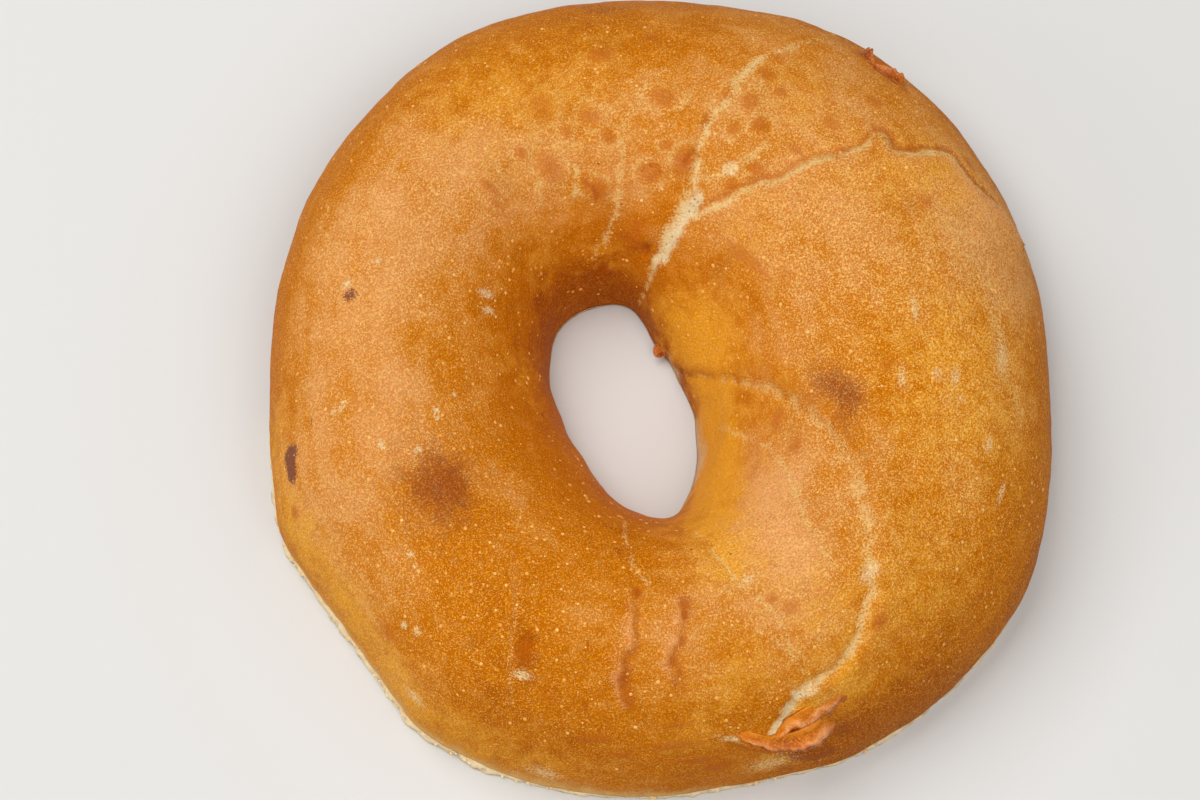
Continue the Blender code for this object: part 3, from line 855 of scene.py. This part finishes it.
def grained(crust, skin, glint_speck, plain, web):
    """The crust's grain: pale specks where it is plain, partly grain and partly painted glints, and
    amber hollows between them.
    """
    skin = crust.mix(crust.times(crust.step(web, 0.48, 0.62, 0.0, 0.40), plain), skin, glint_speck)
    glint_specks = crust.step(crust.grains(0.42), 0.45, 0.16, 0.0, 0.62)
    skin = crust.mix(crust.times(glint_specks, plain), skin, glint_speck)
    hollows = crust.step(web, 0.47, 0.36, 0.0, 0.55)
    skin = crust.mix(crust.times(hollows, crust.field("grainy")), skin, AMBER)
    # Painted glints: the finest and brightest specks.
    painted_glints = crust.step(crust.grains(0.30), 0.28, 0.12, 0.0, 0.70)
    return crust.mix(crust.times(painted_glints, plain), skin, crust.mix(0.5, glint_speck, BRIGHT_GLINT))


def lined(crust, skin, patchy, fine, web, red):
    """The pale net round the blisters, and the ragged lines along creases and stretch marks: pale
    seams and stretch marks, painted shade in the creases and painted highlights on their lips.
    """
    broken = crust.step(patchy, 0.30, 0.55, 0.45, 1.0)
    halo = crust.times(crust.step(red, -0.75, -0.30), crust.step(red, 0.0, -0.25))
    halo = crust.times(crust.times(halo, broken), crust.step(crust.field("net"), 0.0, 0.8))
    skin = crust.mix(crust.times(halo, crust.step(web, 0.36, 0.60, 0.0, 0.45)), skin, STRAW)

    ragged = crust.step(fine, 0.3, 0.7, -0.6, 0.6)
    # The lip lines are painted highlights and the crease lines painted shade.
    for name, tint in (("lip_highlight", LIP_HIGHLIGHT_GOLD), ("crease_shade", CREASE_SHADE_RED), ("stretch", STRAW), ("seam", STRAW)):
        reach = crust.plus(crust.field(name + "_offset"), ragged)
        line = crust.times(crust.step(reach, 1.8, 0.3), crust.field(name + "_strength"))
        line = crust.times(line, broken)
        dusted = crust.step(crust.scaled(line, 0.32, web), 0.50, 0.78)
        skin = crust.mix(crust.times(dusted, crust.step(line, 0.0, 0.7, 0.0, 0.75)), skin, tint)
    core = crust.times(crust.step(reach, 0.8, 0.0, 0.0, 0.6), crust.step(line, 0.5, 1.0))
    return crust.mix(core, skin, PALE_STRAW)


def marked(crust, skin, patchy, fine, web):
    """The pale and the scorched spots, the crumb in the splits, and the pale cut edges."""
    spots = crust.step(crust.roughened("pale_spots", fine, 0.35), -0.2, 0.6)
    dusted = crust.step(crust.scaled(spots, 0.16, web), 0.46, 0.70, 0.1, 0.8)
    skin = crust.mix(crust.times(spots, dusted), skin, PALE_STRAW)
    scorched = crust.step(crust.roughened("scorched", fine, 0.25), -0.05, 0.25, 0.0, 0.85)
    skin = crust.mix(scorched, skin, PURPLE_BROWN)

    crumb = crust.mix(crust.step(crust.grains(0.85), 0.34, 0.14, 0.0, 0.85), CREAM, SHADOWED_CRUMB)
    crumb = crust.mix(crust.step(web, 0.48, 0.60, 0.0, 0.5), crumb, STRAW)
    torn = crust.plus(crust.roughened("torn", fine, 0.35), crust.step(patchy, 0.3, 0.7, -0.3, 0.3))
    skin = crust.mix(crust.step(torn, -0.6, 0.1, 0.0, 0.7), skin, PALE_STRAW)
    skin = crust.mix(crust.step(torn, -0.1, 0.5), skin, crumb)

    by_hole = crust.step(crust.roughened("by_hole", patchy, 0.2), 0.1, 0.9, 0.0, 0.55)
    skin = crust.mix(by_hole, skin, CREAM)
    low = crust.step(crust.roughened("from_cut", patchy, 0.9), 4.5, 0.2, 0.0, 0.85)
    return crust.mix(low, skin, STRAW)


def crust_material():
    """Baked crust: golden, browned and blistered in places, pale along its seams, with painted
    sheen, shade, shadow, glints and highlights.
    """
    crust = Finish("baked_crust")
    patchy = crust.noise(2.4, 3.0, 0.6)
    fine = crust.noise(0.30, 2.0, 0.6)
    web = crust.noise(0.28, 2.0, 0.7)
    red = crust.roughened("reddened", patchy, 0.20)
    skin, glint_speck, plain = baked(crust, patchy, fine, red)
    skin = grained(crust, skin, glint_speck, plain, web)
    skin = lined(crust, skin, patchy, fine, web, red)
    skin = marked(crust, skin, patchy, fine, web)
    peel = crust.relief(crust.noise(1.1), 0.22, 0.8)
    inputs = {
        "Base Color": skin,
        "Roughness": crust.step(patchy, 0.3, 0.7, 0.40, 0.52),
        "Specular IOR Level": 0.02,
        "Specular Tint": colour(1.0, 0.75, 0.50),
        "Normal": crust.relief(crust.step(web, 0.35, 0.65), 0.12, 1.0, over=peel),
    }
    return crust.shade(inputs)


def crumb_material():
    """Soft pale crumb, with painted shade making its pores and pits browner."""
    crumb = Finish("soft_crumb")
    mottle = crumb.step(crumb.noise(1.8, 3.0, 0.6), 0.3, 0.7)
    skin = crumb.mix(mottle, SHADED_CREAM, CREAM)
    # Painted shade: the deeper the pore, the browner.
    skin = crumb.mix(crumb.step(crumb.field("pore"), 0.2, 1.8, 0.0, 0.7), skin, PORE_SHADE_BROWN)
    wall = crumb.step(crumb.grains(1.3), 0.12, 0.42)
    # Painted shade in the pits among the crumb's grains.
    skin = crumb.mix(crumb.step(wall, 1.0, 0.1, 0.0, 0.4), skin, PORE_SHADE_BROWN)
    pitted = crumb.relief(wall, 0.28, 0.7)
    rough = crumb.relief(crumb.noise(0.35, 3.0, 0.6), 0.15, 0.8, over=pitted)
    return crumb.shade({"Base Color": skin, "Roughness": 0.85, "Normal": rough})


def blister_material():
    """Small blisters, from straw to pale gold."""
    blister = Finish("blister_skin")
    skin = blister.mix(blister.field("tone"), BLISTER_GOLD, BLISTER_STRAW)
    skin = blister.mix(blister.step(blister.noise(0.3), 0.35, 0.65, 0.0, 0.3), skin, GOLDEN)
    return blister.shade({"Base Color": skin, "Roughness": 0.45, "Specular IOR Level": 0.12})


def fold_material():
    """Thin reddened crust of the wrinkled folds, pinker or browner by its redness, with painted shade
    in its valleys and along its right-hand side, painted light along its left-hand side and
    painted highlights on its crests.
    """
    fold = Finish("folded_crust")
    fine = fold.noise(0.30, 2.0, 0.6)
    redness = fold.field("redness")
    crest = fold.step(fold.roughened("crest", fine, 0.25, 0.3, 0.7), 0.15, 0.75, 0.0, 0.9)
    skin = fold.mix(crest, AMBER, fold.mix(redness, FOLD_PINK, FOLD_RED))
    skin = fold.mix(fold.step(redness, 1.1, 2.0, 0.0, 0.8), skin, FOLD_BROWN_AND_SHADE)
    wrinkle = fold.roughened("wrinkle", fine, 0.5, 0.3, 0.7)
    # Painted shade in the valleys between the wrinkles.
    skin = fold.mix(fold.times(fold.step(wrinkle, 0.2, -0.9, 0.0, 0.8), redness), skin, FOLD_VALLEY_SHADE)
    # Painted highlights on the crests of the wrinkles.
    lit = fold.times(fold.step(wrinkle, 0.1, 1.2, 0.0, 0.65), fold.step(redness, 2.0, 0.4, 0.1, 1.0))
    skin = fold.mix(lit, skin, PINK_GOLD_HIGHLIGHT)
    # Painted shade along the fold's right-hand side and painted light along its left-hand side.
    side = fold.roughened("side", fine, 0.2, 0.3, 0.7)
    skin = fold.mix(fold.step(side, 0.0, -0.7, 0.0, 0.75), skin, FOLD_BROWN_AND_SHADE)
    skin = fold.mix(fold.step(side, 0.35, 0.95, 0.0, 0.85), skin, GOLDEN)
    ends = fold.roughened("ends", fine, 0.2, 0.3, 0.7)
    skin = fold.mix(fold.step(ends, 0.2, 0.9, 0.0, 0.8), skin, AMBER)
    web = fold.noise(0.33, 2.0, 0.7)
    # Pale specks, partly painted glints.
    skin = fold.mix(fold.step(web, 0.50, 0.64, 0.0, 0.28), skin, GOLD_GLINT_SPECK)
    inputs = {
        "Base Color": skin,
        "Roughness": 0.35,
        "Specular IOR Level": 0.15,
        "Specular Tint": colour(1.0, 0.80, 0.60),
        "Normal": fold.relief(fine, 0.10, 0.8),
    }
    return fold.shade(inputs)


def crumb_bits_material():
    """Small bits of crumb, cream to straw."""
    bits = Finish("crumb_bits")
    return bits.shade({"Base Color": bits.mix(bits.field("tone"), CREAM, STRAW), "Roughness": 0.85})


def torn_height(azimuth):
    """How high the crust's torn lower edge stands above the cut plane."""
    at = lifted(polar((0.0, 0.0), 40.0, azimuth), 0.0)
    ragged = 0.55 * lattice_noise(at, 4.0, 11) + 0.45 * lattice_noise(at, 1.2, 12)
    facing = np.cos(np.radians(azimuth - FLAT_SIDES[0][0]))
    at_side = TORN_AT_FLAT_SIDE * smooth_step((facing - 0.70) / 0.25)
    return TORN_EDGE[0] + at_side + (TORN_EDGE[1] + 0.3 * at_side) * ragged


class Crust:
    """The crust's surface, laid out once and used by every piece that follows it."""

    def __init__(self):
        azimuth = np.arange(CRUST_ROUND)[:, None] * 360.0 / CRUST_ROUND
        lowest = TORN_EDGE[0] / ROLL_ARC
        spread = np.linspace(0.0, 1.0, CRUST_ACROSS)[None, :]
        self.azimuth = azimuth
        self.share = lowest + spread * (1.0 - torn_height(azimuth) / ROLL_ARC - lowest)
        self.smooth = plain_crust(azimuth, self.share)
        self.normals = directions(azimuth, self.share)[2]
        self.fields = {}
        self.surface = self.smooth + self.normals * self.rise()[..., None]
        self.surface[..., 2] = np.maximum(self.surface[..., 2], LEAST_HEIGHTS[0])
        self.colour_fields()

    def rise(self):
        """Swellings, creases, blisters and the fine unevenness of the crust."""
        points = self.smooth
        rise = patches(points, SWELLINGS + BLISTERS + SMALL_BLISTERS) + self.draw_lines()
        self.fields["reddened"] = cones(points, REDDENED)
        self.fields["ambered"] = cones(points, AMBERED)
        rise += 0.18 * np.clip(self.fields["reddened"], 0.0, 0.5)
        for high, size, seed in LUMPS:
            rise += high * lattice_noise(points, size, seed)
        place, reach, way, spacing, high = RIPPLES
        offset = points - plain_crust(*place)
        waves = np.sin(2.0 * math.pi * (offset[..., :2] @ unit(np.array(way))) / spacing)
        return rise + high * waves * bump(np.linalg.norm(offset, axis=-1), reach)

    def draw_lines(self):
        """Draws every line and split, and gives how far they lift or sink each point."""
        points, normals = self.smooth, self.normals
        rise = np.zeros(points.shape[:-1])
        self.lines = {kind: Lines(rise.shape) for kind in ("seam", "crease_shade", "stretch", "lip_highlight")}
        wavering = points
        for sideways, size, seed in WAVER:
            push = [lattice_noise(points, size, seed + k) for k in range(3)]
            wavering = wavering + sideways * np.stack(push, -1)
        for name, crease in CREASES.items():
            measures = from_path(wavering, normals, crease[0])
            rise += crease_rise(measures, crease, GROOVE_DEPTHS.get(name, (1.0, 1.0)))
            # Besides its pale seam, a crease may carry a line of painted shade and one of painted
            # highlight.
            for kind, creases in (("seam", PALE_CREASES), ("crease_shade", CREASE_SHADE_LINES), ("lip_highlight", LIP_HIGHLIGHTS)):
                if name in creases:
                    self.lines[kind].draw(measures, *creases[name])
        for places, width, strength in STRETCH_LINES:
            measures = from_path(wavering, normals, places)
            self.lines["stretch"].draw(measures, 0.0, (width, width), (strength, strength))
        for places, width in ARC_SHADE_LINES:
            measures = from_path(points, normals, places)
            # Painted shade along the arc.
            self.lines["crease_shade"].draw(measures, 0.0, (0.5 * width, width, 0.5 * width), (0.9, 1.3, 0.9))
            rise -= 0.30 * bump(measures[0], 1.5 * width)
        torn = np.full(rise.shape, -3.0)
        for places, width in SPLITS:
            measures = from_path(wavering, normals, places)
            pointed = width * np.sqrt(np.clip(to_end(measures) / 2.5, 0.0, 1.0))
            torn = np.maximum(torn, pointed - measures[0])
        self.fields["torn"] = torn
        return rise

    def at(self, azimuth, share):
        """Points of the finished surface, and its smooth normals, at places on the crust."""
        column = (azimuth % 360.0) * CRUST_ROUND / 360.0
        i = column.astype(int) % CRUST_ROUND
        beside = (i + 1) % CRUST_ROUND
        low, high = self.share[i, 0], self.share[i, -1]
        row = np.clip((share - low) / (high - low), 0.0, 1.0) * (CRUST_ACROSS - 1.001)
        j = row.astype(int)
        s, t = (column % 1.0)[:, None], (row % 1.0)[:, None]
        found = []
        for values in (self.surface, self.normals):
            near, far = (values[k, j] * (1 - t) + values[k, j + 1] * t for k in (i, beside))
            found.append(near * (1 - s) + far * s)
        return found[0], unit(found[1])

    def colour_fields(self):
        """What the crust's material needs to know at each point."""
        points, share = self.smooth, self.share
        # Painted shade and sheen: paleness falls toward deep amber where the crust is steep or upright,
        # less so on the side toward the pale rim, and stays high on the crown as its painted sheen.
        steep = 1.0 - smooth_step((self.normals[..., 2] - 0.30) / 0.60)
        upright = 1.0 - smooth_step(self.normals[..., 2] / 0.45)
        angle = np.radians(self.azimuth) + 0.0 * share
        streak = np.stack([7.0 * np.cos(angle), 7.0 * np.sin(angle), 60.0 * share], -1)
        facing = np.cos(angle - math.radians(PALE_RIM[0]))
        away_from_rim = 1.0 - smooth_step((facing - 0.5) / 0.4)
        painted_side_shade = (0.60 * steep + 0.45 * upright) * (0.3 + 0.7 * away_from_rim)
        self.fields.update(
            paleness=0.62 - painted_side_shade + patches(points, PALENESS_SHEEN_SHADE),
            honey=patches(points, HONEY),
            net=patches(points, PALE_NET),
            by_hole=patches(points, PALE_BY_HOLE),
            grainy=0.5 + 0.5 * smooth_step((share - 0.22) / 0.18) + patches(points, GRAINY),
            browned=patches(points, BROWNED_AND_SHADOWED),
            scorched=cones(points, SCORCHED),
            pale_spots=cones(points, PALE_SPOTS),
            streak=lattice_noise(streak, 1.1, 7),
            from_cut=np.where(share > 0.5, 1.0 - share, 0.3) * ROLL_ARC + PALE_RIM[1] * away_from_rim,
        )
        for kind, lines in self.lines.items():
            self.fields[kind + "_offset"] = lines.offset
            self.fields[kind + "_strength"] = lines.strength


def crust_piece(crust):
    """The whole crust as one closed skin."""
    rows = np.linspace(CRUST_ACROSS - 1, 0, CRUST_INSIDE).astype(int)
    inside = crust.surface[:, rows] - crust.normals[:, rows] * CRUST_THICKNESS
    inside[..., 2] = np.maximum(inside[..., 2], LEAST_HEIGHTS[1])
    loops = np.concatenate([crust.surface, inside], axis=1)
    fields = {}
    for name, value in crust.fields.items():
        fields[name] = np.concatenate([value, value[:, rows]], axis=1)
    return closed_mesh("bagel_crust", loops, fields, crust_material())


def pores(points):
    """How deep the crumb's open pores are at each point of the cut face."""
    rng = np.random.default_rng(21)
    depth = np.zeros(points.shape[:-1])
    for _ in range(PORES):
        angle = rng.uniform(0.0, 360.0)
        inner, outer = hole_edge(angle), outer_edge(angle)
        middle = inner + (outer - inner) * rng.uniform(0.04, 0.97) ** 0.8
        size = PORE_WIDTHS[0] + PORE_WIDTHS[1] * rng.random() ** 3
        turn = rng.uniform(0.0, math.pi)
        stretch = rng.uniform(*PORE_STRETCH)
        offset = points[..., :2] - middle
        u = (offset[..., 0] * math.cos(turn) + offset[..., 1] * math.sin(turn)) / (size * stretch)
        v = (offset[..., 1] * math.cos(turn) - offset[..., 0] * math.sin(turn)) / size
        inside = np.clip(1.0 - u * u - v * v, 0.0, 1.0)
        depth = np.maximum(depth, PORE_DEPTH * size * np.sqrt(inside))
    return depth


def crumb_piece(crust):
    """The crumb inside the crust, with its porous cut face and a ragged rim."""
    across = np.linspace(1.0, 0.0, FACE_ACROSS)[None, :, None]
    inner, outer = hole_edge(crust.azimuth), outer_edge(crust.azimuth)
    low = torn_height(crust.azimuth)
    at = lifted(outer, 0.0)
    ragged = 0.25 + 0.30 * lattice_noise(at, 2.2, 31) + 0.25 * lattice_noise(at, 0.9, 32)
    ragged = ragged * (0.5 + 0.5 * low)
    out = unit(outer - np.array(RING_CENTRE))
    rim = outer + out * ragged[..., None]
    face = lifted(inner + (rim - inner) * across, 0.0)
    edge = smooth_step(np.minimum(across[..., 0], 1.0 - across[..., 0]) / PORE_MARGIN)
    face[..., 2] = pores(face) * edge

    lip_low = lifted(rim, 0.45 * low)
    lip_high = lifted(outer + out * (0.1 + 0.4 * ragged[..., None]), 0.95 * low)
    rows = np.linspace(CRUST_ACROSS - 2, 1, CRUMB_INSIDE).astype(int)
    under = crust.surface[:, rows] - crust.normals[:, rows] * CRUMB_DEPTH
    under[..., 2] = np.maximum(under[..., 2], LEAST_HEIGHTS[2])
    loops = np.concatenate([face[:, ::-1], lip_low, lip_high, under], axis=1)
    pore = np.zeros(loops.shape[:-1])
    pore[:, :FACE_ACROSS] = face[:, ::-1, 2]
    return closed_mesh("bagel_crumb", loops, {"pore": pore}, crumb_material())


def fold_piece(crust, material, name, places, widths, heights, lean, wrinkles, redness):
    """A wrinkled fold of crust along a path, sunk a little into the crust under it."""
    count, across = FOLD_GRID
    spread = np.linspace(0.0, 1.0, count)
    path, normal = crust.at(*(at_steps(values, spread) for values in zip(*places)))
    mean = np.ones(9) / 9
    path = np.stack([np.convolve(np.pad(row, 4, "edge"), mean, "valid") for row in path.T], -1)
    left = unit(np.cross(normal, unit(np.gradient(path, axis=0))))
    from_end = np.minimum(spread, 1.0 - spread)
    taper = np.sqrt(np.clip(from_end / FOLD_TAPER, 0.02, 1.0))
    width = (at_steps(widths, spread) * taper)[:, None]
    height = (at_steps(heights, spread) * taper)[:, None]
    u = np.linspace(-1.0, 1.0, across)[None, :]
    flat = path[:, None] + left[:, None] * (width * u)[..., None]
    rough = lattice_noise(flat, 1.5, 81) + 0.8 * lattice_noise(flat, 0.6, 82)
    ridges = np.cos(math.pi * (wrinkles * u + lattice_noise(flat, 1.8, 83)))
    crest = np.clip(1.0 - u * u, 0.0, 1.0) ** 1.8 * (0.75 + 0.28 * ridges + 0.28 * rough)
    lift = height * crest
    top = flat + normal[:, None] * (lift - FOLD_SINK)[..., None] + left[:, None] * (lean * lift)[..., None]
    under = flat[:, ::-1] - normal[:, None] * (FOLD_THICKNESS + FOLD_SINK)
    fields = {
        "crest": np.concatenate([crest, 0.0 * crest], axis=1),
        "wrinkle": np.tile(ridges, 2),
        "side": np.tile(u, (count, 2)),
        "redness": np.tile(at_steps(redness, spread)[:, None], 2 * across),
        "ends": np.tile(1.0 - from_end[:, None] / FOLD_ENDS, 2 * across),
    }
    return closed_mesh(name, np.concatenate([top, under], axis=1), fields, material, ring=False)


def scatter_tree(name, shape, material):
    """A tree that strews many small lumps over a surface, as densely as its scatter field says."""
    tree = bpy.data.node_groups.new(name, "GeometryNodeTree")
    tree.interface.new_socket("Surface", in_out="INPUT", socket_type="NodeSocketGeometry")
    for label in ("Density", "Smallest", "Largest", "Flatness"):
        tree.interface.new_socket(label, in_out="INPUT", socket_type="NodeSocketFloat")
    tree.interface.new_socket("Seed", in_out="INPUT", socket_type="NodeSocketInt")
    tree.interface.new_socket("Lumps", in_out="OUTPUT", socket_type="NodeSocketGeometry")
    given = tree.nodes.new("NodeGroupInput").outputs

    def add(kind, inputs, out=0, **settings):
        """Adds a node and gives its output."""
        return add_node(tree, kind, inputs, **settings).outputs[out]

    field = add("GeometryNodeInputNamedAttribute", {"Name": "scatter"}, "Attribute", data_type="FLOAT")
    density = add("ShaderNodeMath", {0: field, 1: given["Density"]}, operation="MULTIPLY")
    ground = {"Mesh": given["Surface"], "Density": density, "Seed": given["Seed"]}
    strewn = add_node(tree, "GeometryNodeDistributePointsOnFaces", ground).outputs
    chance = add("FunctionNodeRandomValue", {"Seed": given["Seed"]}, 1, data_type="FLOAT")
    seldom = add("ShaderNodeMath", {0: chance, 1: 3.0}, operation="POWER")
    span = {"Value": seldom, "To Min": given["Smallest"], "To Max": given["Largest"]}
    size = add("ShaderNodeMapRange", span)
    if shape == "dome":
        lump = add("GeometryNodeMeshUVSphere", {"Segments": 7, "Rings": 4, "Radius": 1.0})
        turn = strewn["Rotation"]
    else:
        lump = add("GeometryNodeMeshIcoSphere", {"Radius": 1.0, "Subdivisions": 1})
        whole_turns = {0: (0.0, 0.0, 0.0), 1: (6.3, 6.3, 6.3)}
        turn = add("FunctionNodeRandomValue", whole_turns, data_type="FLOAT_VECTOR")
    squash = add("ShaderNodeCombineXYZ", {"X": 1.0, "Y": 1.0, "Z": given["Flatness"]})
    low = add("GeometryNodeTransform", {"Geometry": lump, "Scale": squash})
    soft = add("GeometryNodeSetShadeSmooth", {"Geometry": low})
    copies = {"Points": strewn["Points"], "Instance": soft, "Rotation": turn, "Scale": size}
    placed = add("GeometryNodeInstanceOnPoints", copies)
    tone = add("FunctionNodeRandomValue", {"Seed": 77}, 1, data_type="FLOAT")
    stored = {"Geometry": placed, "Name": "tone", "Value": tone}
    toned = add("GeometryNodeStoreNamedAttribute", stored, data_type="FLOAT", domain="INSTANCE")
    real = add("GeometryNodeRealizeInstances", {"Geometry": toned})
    dressed = add("GeometryNodeSetMaterial", {"Geometry": real, "Material": material})
    tree.links.new(dressed, tree.nodes.new("NodeGroupOutput").inputs["Lumps"])
    return tree


def strew(name, tree, loops, scatter, sizes):
    """A plain mesh of the lumps that the tree strews over a surface of loops."""
    faces = quads(*loops.shape[:2])[:, :-1].reshape(-1, 4).tolist()
    ground = put_in_scene(name + "_ground", new_mesh(name + "_ground", loops, faces, {"scatter": scatter}))
    modifier = ground.modifiers.new("strew", "NODES")
    modifier.node_group = tree
    sockets = {item.name: item.identifier for item in tree.interface.items_tree if item.in_out == "INPUT"}
    for label, value in sizes.items():
        modifier[sockets[label]] = value
    evaluated = ground.evaluated_get(bpy.context.evaluated_depsgraph_get())
    lumps = bpy.data.meshes.new_from_object(evaluated)
    lumps.name = name
    bpy.data.objects.remove(ground)
    return put_in_scene(name, lumps)


def edge_crumbs(crust):
    """Bits of crumb that cling to the torn lower edge, most of them on the flat side."""
    azimuth = crust.azimuth
    outer = outer_edge(azimuth)
    out = unit(outer - np.array(RING_CENTRE))
    bottom = lifted(outer + 0.25 * out, 0.45)
    top = lifted(outer + 0.10 * out, torn_height(azimuth))
    ground = bottom + (top - bottom) * np.array([0.0, 0.5, 1.0])[None, :, None]
    facing = np.cos(np.radians(azimuth - PALE_RIM[0]))
    scatter = 0.03 + smooth_step((facing - 0.3) / 0.5) * np.ones((1, 3))
    scatter *= 0.5 + 0.5 * lattice_noise(ground, 3.0, 91)
    tree = scatter_tree("strewn_crumbs", "lump", crumb_bits_material())
    sizes = {"Density": 6.0e6, "Smallest": 0.12 * MM, "Largest": 0.50 * MM, "Flatness": 0.75, "Seed": 8}
    return strew("edge_crumbs", tree, ground, scatter, sizes)


def micro_blisters(crust):
    """Small low blisters all over the crust."""
    every = (slice(None, None, 3), slice(4, -4, 3))
    ground = crust.surface[every]
    spread = 0.55 + 0.45 * lattice_noise(ground, 9.0, 41)
    steep = smooth_step((crust.normals[every][..., 2] - 0.1) / 0.5)
    scatter = np.clip(spread * steep, 0.05, 1.0)
    for field, most in (("reddened", -0.2), ("ambered", -0.2), ("browned", 0.4)):
        scatter = scatter * (crust.fields[field][every] < most)
    tree = scatter_tree("strewn_blisters", "dome", blister_material())
    sizes = {"Density": 4.5e5, "Smallest": 0.10 * MM, "Largest": 0.32 * MM, "Flatness": 0.24, "Seed": 5}
    return strew("micro_blisters", tree, ground, scatter, sizes)


def look():
    """The camera at the photo's angle."""
    lift = math.radians(VIEW_ELEVATION)
    ahead = Vector((0.0, math.cos(lift), -math.sin(lift)))
    camera = bpy.data.cameras.new("camera")
    camera.lens = VIEW_LENS
    camera.sensor_width = 36.0
    camera.clip_start = 0.01
    camera.clip_end = 20.0
    eye = bpy.data.objects.new("camera", camera)
    eye.location = (Vector(VIEW_AIM) - ahead * VIEW_DISTANCE) * MM
    eye.rotation_euler = ahead.to_track_quat("-Z", "Y").to_euler()
    bpy.context.scene.collection.objects.link(eye)
    bpy.context.scene.camera = eye


def lamp(name, size, power, azimuth, elevation, distance):
    """A square soft light, aimed at the bagel."""
    light = bpy.data.lights.new(name, "AREA")
    light.size = size
    light.energy = power
    a, e = math.radians(azimuth), math.radians(elevation)
    away = Vector((math.sin(a) * math.cos(e), -math.cos(a) * math.cos(e), math.sin(e)))
    holder = bpy.data.objects.new(name, light)
    holder.location = away * distance
    holder.rotation_euler = (-away).to_track_quat("-Z", "Y").to_euler()
    bpy.context.scene.collection.objects.link(holder)


def studio():
    """Plain pale floor, a soft key from the upper left and a dim even surround."""
    corners = FLOOR_HALF * np.array([(-1.0, -1.0), (1.0, -1.0), (1.0, 1.0), (-1.0, 1.0)])
    mesh = new_mesh("floor", lifted(corners, FLOOR_HEIGHT), [(0, 1, 2, 3)], {})
    pale = {"Base Color": colour(0.66, 0.65, 0.63), "Roughness": 0.9}
    mesh.materials.append(Finish("pale_floor").shade(pale))
    put_in_scene("floor", mesh)
    for row in LAMPS:
        lamp(*row)
    world = bpy.data.worlds.new("surround")
    world.use_nodes = True
    surround = {"Color": colour(0.95, 0.97, 1.0), "Strength": SURROUND}
    give_inputs(world.node_tree, world.node_tree.nodes["Background"], surround)
    bpy.context.scene.world = world
    bpy.context.scene.view_settings.view_transform = "Standard"


look()
studio()
crust = Crust()
pieces = [crust_piece(crust), crumb_piece(crust), micro_blisters(crust), edge_crumbs(crust)]
folded_crust = fold_material()
for fold in FOLDS:
    pieces.append(fold_piece(crust, folded_crust, *fold))
for piece in pieces:
    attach(piece, BODY)
    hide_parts("bagel_half")
